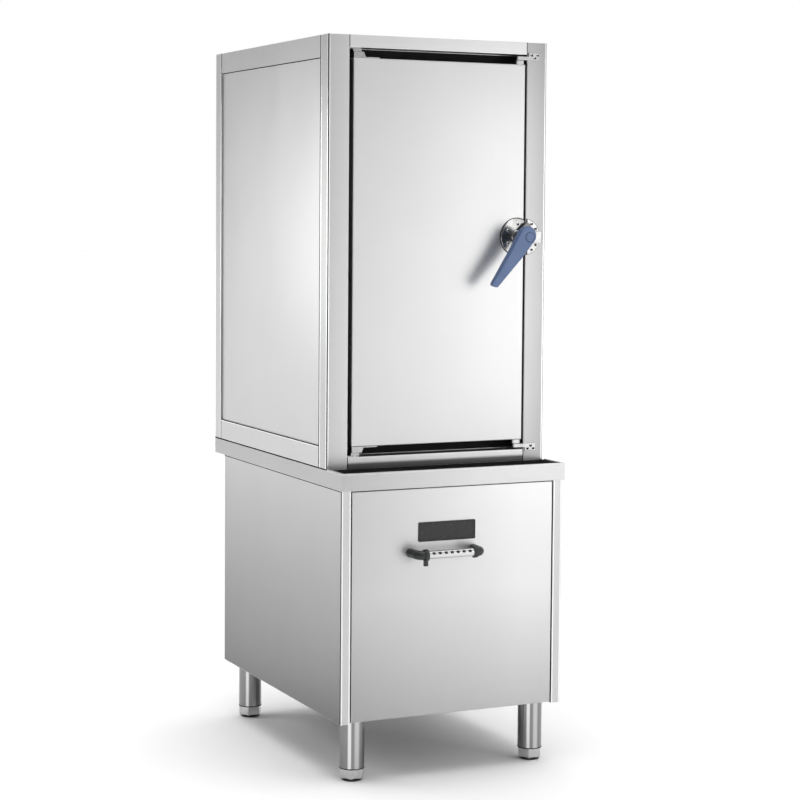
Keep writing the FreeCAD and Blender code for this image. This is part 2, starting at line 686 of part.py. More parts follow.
rear_sheet = slab("rear_sheet", LINER_LEFT, "chamber_back", "mouth_bottom - skin", LINER_WIDTH,
                  "skin", "mouth_height + 2 * skin")
left_flange = slab("left_flange", "opening_left - flange_lap", "flange_front",
                   "opening_bottom - flange_lap", "mouth_left - opening_left + flange_lap",
                   "skin", "opening_height + 2 * flange_lap")
low_flange = slab("low_flange", "mouth_left", "flange_front", "opening_bottom - flange_lap",
                  "mouth_width", "skin", "mouth_bottom - opening_bottom + flange_lap")
finish(group("chamber_liner",
             [left_sheet, mirror("right_sheet", left_sheet, "x", "cabinet_middle"),
              minus("chamber_floor", low_sheet, steam_hole), high_sheet,
              minus("chamber_rear", rear_sheet, vent_hole),
              left_flange, mirror("right_flange", left_flange, "x", "cabinet_middle"),
              low_flange, mirror("high_flange", low_flange, "z", "opening_middle")]))

gasket = new_body("mouth_gasket", "cabinet_middle", "flange_front", "mouth_bottom")
block(gasket, FRONT, "-gasket_sheet", "gasket_sheet", "gasket_inset - opening_width / 2",
      "opening_bottom - mouth_bottom + gasket_inset", "opening_width - 2 * gasket_inset",
      "opening_height - 2 * gasket_inset")
block(gasket, FRONT, "-gasket_height", "gasket_height - gasket_sheet",
      "-mouth_width / 2 - gasket_bead", "-gasket_bead", "mouth_width + 2 * gasket_bead",
      "mouth_height + 2 * gasket_bead")
recess(gasket, FRONT, "-gasket_height", "gasket_height", "-mouth_width / 2", "0",
       "mouth_width", "mouth_height")
finish(gasket)

SLAB_FRONT = "flange_front + skin + insulation_play"
SLAB_BACK = "panel_front - insulation_play"
SLAB_LOW = "countertop_top + insulation_play"
SLAB_HIGH = "cabinet_top - cover_recess - panel_return - insulation_play"
LINER_BACK = "chamber_back + skin + insulation_play"
left_slab = slab("left_slab", "cabinet_left + side_rail_depth + insulation_play", SLAB_FRONT,
                 SLAB_LOW,
                 f"{LINER_LEFT} - cabinet_left - side_rail_depth - 2 * insulation_play",
                 f"{SLAB_BACK} - ({SLAB_FRONT})", f"{SLAB_HIGH} - ({SLAB_LOW})")
right_slab = mirror("right_slab", left_slab, "x", "cabinet_middle")
low_slab = slab("low_slab", LINER_LEFT, SLAB_FRONT, SLAB_LOW, LINER_WIDTH,
                f"{SLAB_BACK} - ({SLAB_FRONT})",
                f"mouth_bottom - skin - insulation_play - ({SLAB_LOW})")
high_slab = slab("high_slab", LINER_LEFT, SLAB_FRONT, "mouth_top + skin + insulation_play",
                 LINER_WIDTH, f"{SLAB_BACK} - ({SLAB_FRONT})",
                 f"{SLAB_HIGH} - (mouth_top + skin + insulation_play)")
back_slab = slab("back_slab", LINER_LEFT, LINER_BACK, "mouth_bottom - skin", LINER_WIDTH,
                 f"{SLAB_BACK} - ({LINER_BACK})", "mouth_height + 2 * skin")
finish(group("insulation", [left_slab, right_slab, minus("floor_slab", low_slab, steam_hole),
                            high_slab, minus("rear_slab", back_slab, vent_hole)]))

# Shelves on angle runners
runner = new_body("runner", "mouth_left", "shelf_front + shelf_play", "mouth_bottom + shelf_first")
shape(runner, FRONT, "0", "shelf_depth - 2 * shelf_play", ("0", "skin"),
      ("0", "skin - runner_leg"), ("skin", "skin - runner_leg"), ("skin", "0"),
      ("runner_leg", "0"), ("runner_leg", "skin"))
shelf = new_body("shelf", "cabinet_middle", "shelf_front",
                 "mouth_bottom + shelf_first + skin")
SHELF_WIDTH = "(mouth_width - 2 * (skin + shelf_play))"
block(shelf, FLOOR, "0", "skin", f"-{SHELF_WIDTH} / 2", "0", SHELF_WIDTH, "shelf_depth")
for lip in ("0", "shelf_depth - skin"):
    block(shelf, FLOOR, "-shelf_lip", "shelf_lip", f"-{SHELF_WIDTH} / 2", lip, SHELF_WIDTH,
          "skin")
slots = new_sketch(shelf, FLOOR)
for column in (-1, 0, 1):
    rectangle(slots, f"{column} * {SHELF_WIDTH} / 3 - slot_length / 2",
              "(shelf_depth - slot_pitch * (slot_rows - 1) - slot_width) / 2",
              "slot_length", "slot_width")
first_row = cut(shelf, slots, "skin")
repeat(shelf, first_row, "Y_Axis", "slot_pitch", "slot_rows")
runners, shelves = [runner], [shelf]
for number in range(1, int(value("shelf_count"))):
    level = f"mouth_bottom + shelf_first + {number} * shelf_pitch"
    runners.append(copy_to(runner, "mouth_left", "shelf_front + shelf_play", level))
    shelves.append(copy_to(shelf, "cabinet_middle", "shelf_front", f"{level} + skin"))
left_runners = group("left_runners", runners)
finish(group("shelf_runners",
             [left_runners, mirror("right_runners", left_runners, "x", "cabinet_middle")]))
finish(group("steam_shelves", shelves))

# Steam riser from the boiler into the chamber, and the vent at the back
riser = new_body("steam_pipe", "steam_across", "steam_deep", "steam_foot")
turn(riser, FRONT, ("steam_pipe_bore", "0"), ("steam_flange", "0"),
     ("steam_flange", "steam_flange_height"), ("steam_pipe_radius", "steam_flange_height"),
     ("steam_pipe_radius", "steam_height"), ("0", "steam_height"),
     ("0", "steam_height - steam_cap"), ("steam_pipe_bore", "steam_height - steam_cap"))
for role in (FRONT, SIDE):
    bore(riser, role, "-steam_pipe_radius", "2 * steam_pipe_radius", "0",
         "steam_height - steam_outlet_drop", "steam_outlet_radius")
finish(riser)

vent = new_body("vent_pipe", "cabinet_middle", "chamber_back", "vent_height")
VENT_PLATE = "countertop_back - panel_recess - chamber_back"
turn(vent, FLOOR, ("vent_bore", "0"), ("vent_radius", "0"), ("vent_radius", VENT_PLATE),
     ("vent_flange", VENT_PLATE), ("vent_flange", f"{VENT_PLATE} + vent_flange_thickness"),
     ("vent_radius", f"{VENT_PLATE} + vent_flange_thickness"),
     ("vent_radius", "countertop_back + vent_reach - chamber_back"),
     ("vent_bore", "countertop_back + vent_reach - chamber_back"))
finish(vent)

# Door: a folded skin closed by an inner pan, with insulation between
door_skin = new_body("door_skin", "door_left", "door_front", "door_bottom")
block(door_skin, FRONT, "0", "door_thickness - skin", "0", "0", "door_width", "door_height")
dress(door_skin, "Fillet", "fold_radius", lambda edge: near(edge.BoundBox.YMax, "0"))
recess(door_skin, FRONT, "skin", "door_thickness - 2 * skin", "skin", "skin",
       "door_width - 2 * skin", "door_height - 2 * skin")
DOOR_AXIS = ("door_width - latch_setback", "latch_height")
bore(door_skin, FRONT, "0", "skin", *DOOR_AXIS, "spindle_radius + running_play")
drill(door_skin, "0", "skin", [(f"{DOOR_AXIS[0]} + {across}", f"{DOOR_AXIS[1]} + {up}")
                               for across, up in DISC_SPOTS])
finish(door_skin)

inner_pan = new_body("door_inner_pan", "door_left", "door_front", "door_bottom")
LIP_START = "door_thickness - skin - door_lip"
LIP_INSET = "(skin + door_lip_play)"
block(inner_pan, FRONT, "door_thickness - skin", "skin", "0", "0", "door_width", "door_height")
block(inner_pan, FRONT, LIP_START, "door_lip", LIP_INSET, LIP_INSET,
      f"door_width - 2 * {LIP_INSET}", f"door_height - 2 * {LIP_INSET}")
recess(inner_pan, FRONT, LIP_START, "door_lip", f"{LIP_INSET} + skin", f"{LIP_INSET} + skin",
       f"door_width - 2 * ({LIP_INSET} + skin)", f"door_height - 2 * ({LIP_INSET} + skin)")
finish(inner_pan)

door_slab = new_body("door_insulation", "door_left", "door_front", "door_bottom")
SLAB_INSET = f"({LIP_INSET} + skin + insulation_play)"
block(door_slab, FRONT, "skin + insulation_play",
      "door_thickness - 2 * (skin + insulation_play)", SLAB_INSET, SLAB_INSET,
      f"door_width - 2 * {SLAB_INSET}", f"door_height - 2 * {SLAB_INSET}")
POCKET_LEFT = "door_width - latch_setback - disc_radius"
recess(door_slab, FRONT, "skin + insulation_play", "latch_pocket", POCKET_LEFT,
       "latch_height - disc_radius", f"door_width - ({POCKET_LEFT})", "2 * disc_radius")
bore(door_slab, FRONT, "skin + insulation_play", "spindle_inside", *DOOR_AXIS,
     "spindle_radius + pipe_play")
finish(door_slab)

# Corner pivot hinges: a strap and block on the door turn about a pin held by a lug on the frame
hinge_block = new_body("high_hinge_block", "door_left + hinge_inset",
                       "door_front + strap_setback", "door_top")
block(hinge_block, FLOOR, "0", "strap_thickness", "0", "0", "strap_length", "hinge_depth")
shape(hinge_block, FRONT, "0", "hinge_depth", ("0", "strap_thickness"),
      ("hinge_block_width", "strap_thickness"),
      ("hinge_block_width - hinge_block_slant", "strap_thickness + hinge_block_height"),
      ("0", "strap_thickness + hinge_block_height"))
bore(hinge_block, FLOOR, "0", "strap_thickness + hinge_block_height",
     "pivot_inset - hinge_inset", "pivot_inset - strap_setback", "pivot_radius + running_play")
finish(group("door_hinge_blocks",
             [hinge_block, mirror("low_hinge_block", hinge_block, "z", "opening_middle")]))

bracket = new_body("high_bracket", "opening_left", "cabinet_front", "hinge_level")
PIVOT_DEEP = "pivot_deep - cabinet_front"
LUG_LEFT = "pivot_across - opening_left - bracket_lug / 2"
LUG_HEIGHT = "(opening_top - hinge_level - bracket_cap)"
block(bracket, FLOOR, LUG_HEIGHT, "bracket_cap", "0", "bracket_edge",
      f"{LUG_LEFT} + bracket_lug", "hinge_depth")
block(bracket, FLOOR, "0", LUG_HEIGHT, LUG_LEFT, f"({PIVOT_DEEP}) - bracket_lug_nose",
      "bracket_lug", "bracket_lug_depth")
bore(bracket, FLOOR, "0", f"{LUG_HEIGHT} + bracket_cap", "pivot_across - opening_left",
     PIVOT_DEEP, "pivot_radius")
finish(group("hinge_brackets", [bracket, mirror("low_bracket", bracket, "z", "opening_middle")]))

high_pin = rod("high_pin", "pivot_across", "pivot_deep", "door_top + pin_tip_gap",
               "pivot_radius", "opening_top - door_top - pin_tip_gap")
finish(group("hinge_pins", [high_pin, mirror("low_pin", high_pin, "z", "opening_middle")]))

# Corner guides: a block on the door slides under a tongue that is screwed to the stile
guide_block = new_body("high_guide_block", "door_right - guide_inset - guide_block_width",
                       "door_front + guide_inset", "door_top")
block(guide_block, FLOOR, "0", "guide_block_height", "0", "0", "guide_block_width",
      "guide_block_depth")
dress(guide_block, "Chamfer", "guide_inset", lambda edge: runs_along(edge, 2))
finish(group("door_corner_blocks",
             [guide_block, mirror("low_guide_block", guide_block, "z", "opening_middle")]))

guide_keeper = new_body("high_keeper", "opening_right", "cabinet_front", "guide_level")
shape(guide_keeper, FLOOR, "0", "tongue_height", ("-tongue_reach", "-leaf_thickness"),
      ("leaf_gap", "-leaf_thickness"), ("leaf_gap", "0"), ("0", "0"),
      ("0", "tongue_depth - leaf_thickness"), ("-tongue_reach", "tongue_depth - leaf_thickness"))
dress(guide_keeper, "Fillet", "leaf_radius",
      lambda edge: runs_along(edge, 2) and near(edge.BoundBox.XMax, "-tongue_reach"))
block(guide_keeper, FLOOR, "0", "leaf_height", "leaf_gap", "-leaf_thickness", "leaf_width",
      "leaf_thickness")
drill(guide_keeper, "-leaf_thickness", "leaf_thickness", LEAF_SPOTS)
finish(group("corner_keepers",
             [guide_keeper, mirror("low_keeper", guide_keeper, "z", "opening_middle")]))

# Lever latch: a disc split between door and stile, a turning nose, and a hooked bridge
latch_plate = new_body("latch_plate", "latch_across", "door_front", "latch_level")
disc(latch_plate, FRONT, "-disc_thickness", "disc_thickness", "0", "0", "disc_radius")
dress(latch_plate, "Chamfer", "disc_bevel", lambda edge: near(edge.BoundBox.YMax,
                                                              "-disc_thickness"))
recess(latch_plate, FRONT, "-disc_thickness", "disc_thickness", "latch_setback - disc_trim",
       "-disc_radius", "disc_radius", "2 * disc_radius")
disc(latch_plate, FRONT, "-disc_face", "collar_height", "0", "0", "collar_radius")
bore(latch_plate, FRONT, "-disc_face", "disc_face", "0", "0", "spindle_radius + running_play")
drill(latch_plate, "-disc_thickness", "disc_thickness", DISC_SPOTS)
finish(latch_plate)

high_plate = new_body("high_keeper_plate", "keeper_across", "cabinet_front", "latch_level")
disc(high_plate, FRONT, "-keeper_thickness", "keeper_thickness", "0", "0", "disc_radius")
dress(high_plate, "Chamfer", "disc_bevel", lambda edge: near(edge.BoundBox.YMax,
                                                             "-keeper_thickness"))
recess(high_plate, FRONT, "-keeper_thickness", "keeper_thickness", "-disc_radius",
       "-disc_radius", "disc_radius + keeper_edge", "2 * disc_radius")
recess(high_plate, FRONT, "-keeper_thickness", "keeper_thickness", "0", "-disc_radius",
       "disc_radius", "disc_radius + bridge_height / 2 + keeper_slot")
drill(high_plate, "-keeper_thickness", "keeper_thickness", KEEPER_SPOTS[:2])
finish(group("keeper_plates",
             [high_plate, mirror("low_keeper_plate", high_plate, "z", "latch_level")]))

bridge = new_body("keeper_bridge", "keeper_across", "cabinet_front",
                  "latch_level - bridge_height / 2")
BRIDGE_END = "bridge_setback + bridge_length"
shape(bridge, FLOOR, "0", "bridge_height", ("bridge_setback + bridge_inner", "0"),
      (BRIDGE_END, "0"), (BRIDGE_END, "-bridge_face"), ("bridge_setback", "-bridge_face"),
      ("bridge_setback", "-bridge_under"), ("bridge_setback + bridge_inner", "-bridge_under"))
dress(bridge, "Fillet", "bridge_radius",
      lambda edge: runs_along(edge, 2) and near(edge.BoundBox.YMax, "-bridge_face")
      and near(edge.BoundBox.XMax, BRIDGE_END))
dress(bridge, "Fillet", "bridge_lip_radius",
      lambda edge: runs_along(edge, 2) and near(edge.BoundBox.XMax, "bridge_setback"))
finish(bridge)

spindle = new_body("latch_spindle", "latch_across", "door_front", "latch_level")
NUT_FACE = "skin + nut_gap"
turn(spindle, FLOOR, ("0", "-lever_back - spindle_grip"),
     ("spindle_radius", "-lever_back - spindle_grip"), ("spindle_radius", NUT_FACE),
     ("nut_radius", NUT_FACE), ("nut_radius", f"{NUT_FACE} + nut_height"),
     ("spindle_radius", f"{NUT_FACE} + nut_height"), ("spindle_radius", "spindle_inside"),
     ("0", "spindle_inside"))
finish(spindle)

cam = new_body("latch_cam", "latch_across", "door_front", "latch_level")
disc(cam, FRONT, "-lever_back", "lever_back - cam_back", "0", "0", "cam_neck_radius")
disc(cam, FRONT, "-cam_back - cam_hub_length", "cam_hub_length", "0", "0", "cam_hub_radius")
shape(cam, FRONT, "-cam_face", "cam_thickness", ("0", "-cam_root"), ("cam_reach", "-cam_tip"),
      ("cam_reach", "cam_tip"), ("0", "cam_root"))
dress(cam, "Fillet", "cam_tip - disc_bevel",
      lambda edge: runs_along(edge, 1) and near(edge.BoundBox.XMin, "cam_reach"))
bore(cam, FRONT, "-lever_back", "lever_back - cam_back", "0", "0", "spindle_radius")
tilt(cam, (0, -1, 0), "nose_angle")
finish(cam)

lever = new_body("latch_lever", "latch_across", "door_front", "latch_level")
shape(lever, FRONT, "-lever_out", "lever_thickness",
      ("-lever_head_radius * sin(lever_shoulder_angle * 1 deg)",
       "lever_head_shift + lever_head_radius * cos(lever_shoulder_angle * 1 deg)"),
      ("-lever_waist", "lever_waist_left"), ("-lever_long_side", "lever_tip_left"),
      ("-lever_short_side", "-lever_tip_right"),
      ("-lever_straight", "lever_head_shift - lever_head_radius"),
      ("0", "lever_head_shift - lever_head_radius"))
disc(lever, FRONT, "-lever_out", "lever_thickness", "0", "lever_head_shift",
     "lever_head_radius")
wedge = new_sketch(lever, FLOOR, "-2 * lever_head_radius")
polygon(wedge, ("-lever_waist", "-lever_back"), ("-lever_long_side - lever_head_radius",
                                                "-lever_back - lever_thinning"),
        ("-lever_long_side - lever_head_radius", "-lever_back"))
cut(lever, wedge, "4 * lever_head_radius")
dress(lever, "Fillet", "lever_tip_radius",
      lambda edge: runs_along(edge, 1) and edge.BoundBox.XMax < -value("lever_short_side") + 1)
dress(lever, "Fillet", "lever_edge_radius",
      lambda edge: near(edge.BoundBox.YMax, "-lever_out"))
bore(lever, FRONT, "-lever_back - spindle_grip", "spindle_grip", "0", "0", "spindle_radius")
bore(lever, FRONT, "-lever_out", "cap_recess", "0", "0", "cap_radius + cap_play")
tilt(lever, (0, -1, 0), "nose_angle")
finish(lever)

cap = new_body("lever_cap", "latch_across", "door_front", "latch_level")
disc(cap, FRONT, "-lever_out - cap_proud", "cap_recess + cap_proud", "0", "0", "cap_radius")
finish(cap)

disc_screw = screw_body("disc_screw")
disc_screws = []
for across, up in DISC_SPOTS:
    disc_screws.append(copy_to(disc_screw, f"latch_across + {across}",
                               "door_front - disc_thickness", f"latch_level + {up}"))
finish(group("door_screws", disc_screws))

frame_screws = []
for across, up in KEEPER_SPOTS:
    frame_screws.append(copy_to(disc_screw, f"keeper_across + {across}",
                                "cabinet_front - keeper_thickness", f"latch_level + {up}"))
for across, up in LEAF_SPOTS:
    for level in (f"guide_level + {up}", f"2 * opening_middle - guide_level - {up}"):
        frame_screws.append(copy_to(disc_screw, f"opening_right + {across}",
                                    "cabinet_front - leaf_thickness", level))
finish(group("frame_screws", frame_screws))

# Worktop: a steel pan with a turned-in edge over a stiffening board, and a raised front rim
countertop = new_body("countertop", "countertop_left", "countertop_front", "base_top")
block(countertop, FLOOR, "0", "countertop_thickness", "0", "0", "countertop_width",
      "countertop_depth")
dress(countertop, "Fillet", "fold_radius", lambda edge: runs_along(edge, 2))
recess(countertop, FLOOR, "skin", "countertop_thickness - 2 * skin", "skin", "skin",
       "countertop_width - 2 * skin", "countertop_depth - 2 * skin")
recess(countertop, FLOOR, "0", "skin", "base_return", "base_return",
       "countertop_width - 2 * base_return", "countertop_depth - 2 * base_return")
RIM_RIGHT = "countertop_width - marine_edge_width"
RIM_BACK = "cabinet_setback - skin"
shape(countertop, FLOOR, "countertop_thickness", "marine_edge_height",
      ("fold_radius / 4", "fold_radius / 4"),
      ("countertop_width - fold_radius / 4", "fold_radius / 4"),
      ("countertop_width - fold_radius / 4", RIM_BACK), (RIM_RIGHT, RIM_BACK),
      (RIM_RIGHT, "marine_edge_width"), ("marine_edge_width", "marine_edge_width"),
      ("marine_edge_width", RIM_BACK), ("fold_radius / 4", RIM_BACK))
STEAM_SPOT = ("steam_across - countertop_left", "steam_deep - countertop_front")
bore(countertop, FLOOR, "countertop_thickness - skin", "skin", *STEAM_SPOT,
     "steam_pipe_radius + pipe_play")
finish(countertop)

core = slab("core", "countertop_left + skin", "countertop_front + skin",
            "countertop_top - skin - countertop_board", "countertop_width - 2 * skin",
            "countertop_depth - 2 * skin", "countertop_board")
core_hole = rod("core_hole", "steam_across", "steam_deep", "base_top",
                "steam_pipe_radius + pipe_play", "countertop_thickness")
finish(minus("countertop_board", core, core_hole))

# Base: folded sides, a slotted back, and a tray floor
left_side = new_body("left_side", "base_left", "base_front", "ground_clearance")
shape(left_side, FLOOR, "0", "base_height", ("0", "0"), ("base_stile_width", "0"),
      ("base_stile_width", "base_return"), ("base_stile_width - skin", "base_return"),
      ("base_stile_width - skin", "skin"), ("skin", "skin"), ("skin", "base_depth - skin"),
      ("base_stile_width", "base_depth - skin"), ("base_stile_width", "base_depth"),
      ("0", "base_depth"))
block(left_side, FLOOR, "base_height - skin", "skin", "0", "0", "base_return", "base_depth")
FLAP_PIN = ("flap_thickness / 2", "flap_gap + flap_pivot_height")
bore(left_side, SIDE, "base_stile_width - skin", "skin", *FLAP_PIN, "flap_pin_radius")
finish(group("base_sides",
             [left_side, mirror("right_side", left_side, "x", "base_left + base_width / 2")]))

base_back = new_body("base_back_panel", "base_left + skin", "back_plate", "ground_clearance")
block(base_back, FRONT, "0", "skin", "0", "0", "base_width - 2 * skin", "base_height - skin")
bore(base_back, FRONT, "0", "skin", "feed_across - base_left - skin",
     "feed_height - ground_clearance", "feed_radius + pipe_play")
bore(base_back, FRONT, "0", "skin", "base_width - skin - gland_offset", "rear_fitting_level",
     "gland_sleeve")
louvre = recess(base_back, FRONT, "0", "skin",
                "(base_width - louvre_length) / 2", "louvre_level", "louvre_length",
                "louvre_height")
repeat(base_back, louvre, "Z_Axis", "louvre_pitch", "louvre_rows")
finish(base_back)

base_floor = new_body("base_floor", "base_left + skin", "floor_front", "leg_top")
block(base_floor, FLOOR, "0", "panel_return", "0", "0", "base_width - 2 * skin",
      "back_plate - floor_front")
recess(base_floor, FLOOR, "floor_plate", "panel_return - floor_plate", "skin", "skin",
       "base_width - 4 * skin", "back_plate - floor_front - 2 * skin")
bore(base_floor, FLOOR, "0", "floor_plate", "drain_across - base_left - skin",
     "tank_front - drain_run - floor_front", "drain_radius + pipe_play")
finish(base_floor)

# Front flap on two pivot pins, with the display and the pull handle
flap_pin = new_body("left_flap_pin", "base_left + base_stile_width - skin",
                    "base_front + flap_thickness / 2", "flap_bottom + flap_pivot_height")
disc(flap_pin, SIDE, "-flap_pin_head_height", "flap_pin_head_height", "0", "0",
     "flap_pin_head")
disc(flap_pin, SIDE, "0", "skin + flap_gap + flap_pin_reach", "0", "0", "flap_pin_radius")
finish(group("flap_pins",
             [flap_pin, mirror("right_flap_pin", flap_pin, "x", "base_left + base_width / 2")]))

flap = new_body("front_flap", "flap_left", "base_front", "flap_bottom")
block(flap, FRONT, "0", "flap_thickness", "0", "0", "flap_width", "flap_height")
dress(flap, "Fillet", "fold_radius", lambda edge: near(edge.BoundBox.YMax, "0"))
recess(flap, FRONT, "skin", "flap_thickness - skin", "skin", "skin", "flap_width - 2 * skin",
       "flap_height - 2 * skin")
recess(flap, FRONT, "0", "skin", "display_left + display_step - flap_left",
       "display_bottom + display_step - flap_bottom", "display_width - 2 * display_step",
       "display_height - 2 * display_step")
bore(flap, SIDE, "0", "flap_width", "flap_thickness / 2", "flap_pivot_height",
     "flap_pin_radius + running_play")
finish(flap)

display = new_body("display_module", "display_left", "base_front", "display_bottom")
block(display, FRONT, "-display_proud", "display_proud", "0", "0", "display_width",
      "display_height")
dress(display, "Fillet", "display_radius", lambda edge: runs_along(edge, 1))
block(display, FRONT, "0", "display_box_depth", "display_step", "display_step",
      "display_width - 2 * display_step", "display_height - 2 * display_step")
recess(display, FRONT, "-display_proud", "screen_sink", "display_step", "display_step",
       "display_width - 2 * display_step", "display_height - 2 * display_step")
finish(display)
finish(slab("display_screen", "display_left + display_step",
            "base_front - display_proud + screen_sink - screen_thickness",
            "display_bottom + display_step", "display_width - 2 * display_step",
            "screen_thickness", "display_height - 2 * display_step"))

handle = new_body("handle_tube", "handle_middle", "base_front", "handle_level")
ring(handle, SIDE, "-handle_half_length", "2 * handle_half_length", "-handle_standoff", "0",
     "handle_radius", "handle_radius - handle_wall")
slot = recess(handle, FRONT, "-handle_standoff - handle_radius", "handle_radius",
              "-(handle_slot_pitch * (handle_slot_count - 1) + handle_slot) / 2",
              "handle_slot_rise", "handle_slot", "handle_slot_height")
repeat(handle, slot, "X_Axis", "handle_slot_pitch", "handle_slot_count")
finish(handle)

mount = new_body("right_mount", "handle_middle", "base_front", "handle_level")
COLLAR_START = "handle_half_length - mount_collar"
disc(mount, SIDE, COLLAR_START, "mount_collar + mount_overlap", "-handle_standoff", "0",
     "mount_collar_radius")
elbow_profile = new_sketch(mount, SIDE, "handle_half_length")
circle(elbow_profile, "-handle_standoff", "0", "mount_radius")
elbow_spine = new_sketch(mount, FLOOR)
ELBOW_CORNER = ("handle_half_length + mount_overlap"
                " + elbow_radius * tan(elbow_angle / 2 * 1 deg)")
bent_path(elbow_spine, "elbow_radius", ("handle_half_length", "-handle_standoff"),
          (ELBOW_CORNER, "-handle_standoff"),
          (f"{ELBOW_CORNER} + (handle_standoff + mount_radius) / tan(elbow_angle * 1 deg)",
           "mount_radius"))
sweep(mount, elbow_profile, elbow_spine)
recess(mount, FRONT, "0", "3 * mount_radius", "handle_half_length", "-2 * mount_radius",
       "handle_half_length * 2", "4 * mount_radius")
bore(mount, SIDE, COLLAR_START, "mount_collar", "-handle_standoff", "0", "handle_radius")

tab = slab("tab", f"handle_middle - ({COLLAR_START}) - mount_tab_width",
           "base_front - handle_standoff - mount_tab_thickness / 2",
           "handle_level - mount_tab_drop", "mount_tab_width", "mount_tab_thickness",
           "mount_tab_drop - mount_radius")
left_mount = join("left_mount", mirror("left_elbow", mount, "x", "handle_middle"), tab)
finish(group("handle_mounts", [mount, left_mount]))

# Boiler: an open tank with a lid, three heating elements, a float valve and a drain
tank = new_body("water_tank", "tank_left", "tank_front", "tank_bottom")
block(tank, FLOOR, "0", "tank_height", "0", "0", "tank_width", "tank_depth")
recess(tank, FLOOR, "tank_wall", "tank_height - tank_wall", "tank_wall", "tank_wall",
       "tank_width - 2 * tank_wall", "tank_depth - 2 * tank_wall")
rim = new_sketch(tank, FLOOR, "tank_height - tank_wall")
rectangle(rim, "-tank_rim", "-tank_rim", "tank_width + 2 * tank_rim",
          "tank_depth + 2 * tank_rim")
rectangle(rim, "tank_wall", "tank_wall", "tank_width - 2 * tank_wall",
          "tank_depth - 2 * tank_wall")
pad(tank, rim, "tank_wall")
for skid in ("skid_inset", "tank_width - skid_inset - skid_width"):
    block(tank, FLOOR, "-tank_lift", "tank_lift", skid, "0", "skid_width", "tank_depth")
ELEMENT_COLUMNS = [f"tank_width / 2 + {column} * element_pitch" for column in (-1, 0, 1)]
ports = new_sketch(tank, FRONT)
for across in ELEMENT_COLUMNS:
    for side in ("-", "+"):
        circle(ports, across, f"element_level {side} element_half_span",
               "element_radius + pipe_play")
circle(ports, "drain_offset", "drain_level", "drain_bore")
cut(tank, ports, "tank_wall")
bore(tank, FRONT, "tank_depth - tank_wall", "tank_wall", "feed_offset", "feed_level",
     "feed_radius + pipe_play")
finish(tank)

lid = slab("lid", "tank_left - tank_rim", "tank_front - tank_rim", "tank_top",
           "tank_width + 2 * tank_rim", "tank_depth + 2 * tank_rim", "tank_wall")
lid_hole = rod("lid_hole", "steam_across", "steam_deep", "tank_top", "steam_pipe_bore",
               "tank_wall")
finish(minus("tank_lid", lid, lid_hole))

element = new_body("element", f"tank_left + {ELEMENT_COLUMNS[1]}", "tank_front",
                   "tank_bottom + element_level")
block(element, FRONT, "-element_plate_thickness", "element_plate_thickness",
      "-element_plate_width / 2", "-element_plate_height / 2", "element_plate_width",
      "element_plate_height")
rod_profile = new_sketch(element, FRONT)
circle(rod_profile, "0", "-element_half_span", "element_radius")
rod_spine = new_sketch(element, SIDE)
bent_path(rod_spine, "element_bend", ("0", "-element_half_span"),
          ("element_length", "-element_half_span"), ("element_length", "element_half_span"),
          ("0", "element_half_span"))
sweep(element, rod_profile, rod_spine)
outer_elements = [copy_to(element, f"tank_left + {across}", "tank_front",
                          "tank_bottom + element_level")
                  for across in (ELEMENT_COLUMNS[0], ELEMENT_COLUMNS[2])]
finish(group("heating_elements", [element, *outer_elements]))

valve = new_body("float_valve", "feed_across", "base_back", "feed_height")
block(valve, FRONT, "valve_face", "valve_block", "-valve_block / 2", "-valve_block / 2",
      "valve_block", "valve_block")
disc(valve, FRONT, "valve_face + valve_block", "feed_outside - valve_face - valve_block",
     "0", "0", "feed_radius")
for ear in ("-valve_gap / 2 - valve_ear", "valve_gap / 2"):
    block(valve, SIDE, ear, "valve_ear", "valve_face", "-float_drop - ear_depth / 2",
          "ear_depth", "float_drop")
disc(valve, SIDE, "-valve_gap / 2", "valve_gap", "valve_face + ear_depth / 2",
     "-float_drop", "float_pin_radius")
bore(valve, FRONT, "valve_face + valve_block / 2",
     "feed_outside - valve_face - valve_block / 2", "0", "0", "feed_bore")
finish(valve)

arm = new_body("float_arm", "float_across", "float_deep", "float_height")
disc(arm, SIDE, "-float_eye_width / 2", "float_eye_width", "0", "0", "float_eye_radius")
disc(arm, FRONT, "-float_arm_length", "float_arm_length - float_eye_radius / 2", "0", "0",
     "float_arm_radius")
ball = arm.newObject("PartDesign::AdditiveSphere", "float_ball")
drive(ball, "Radius", "float_ball_radius")
drive(ball, "Placement.Base.y", "-float_arm_length")
model.recompute()
bore(arm, SIDE, "-float_eye_width / 2", "float_eye_width", "0", "0",
     "float_pin_radius + running_play")
tilt(arm, (1, 0, 0), "float_rest_angle")
finish(arm)

drain = new_body("drain_pipe", "drain_across", "tank_front", "drain_height")
pipe_profile = new_sketch(drain, FRONT)
circle(pipe_profile, "0", "0", "drain_radius")
circle(pipe_profile, "0", "0", "drain_bore")
pipe_spine = new_sketch(drain, SIDE)
bent_path(pipe_spine, "drain_bend", ("0", "0"), ("-drain_run", "0"),
          ("-drain_run", "-drain_drop"))
sweep(drain, pipe_profile, pipe_spine)
VALVE_START = "-drain_valve_gap - drain_valve_size"
block(drain, FRONT, VALVE_START, "drain_valve_size", "-drain_valve_size / 2",
      "-drain_valve_size / 2", "drain_valve_size", "drain_valve_size")
bore(drain, FRONT, VALVE_START, "drain_valve_size", "0", "0", "drain_bore")
bore(drain, FLOOR, "drain_valve_size / 2 - drain_stem_depth", "drain_stem_depth", "0",
     "-drain_valve_gap - drain_valve_size / 2", "drain_stem_radius + running_play")
finish(drain)

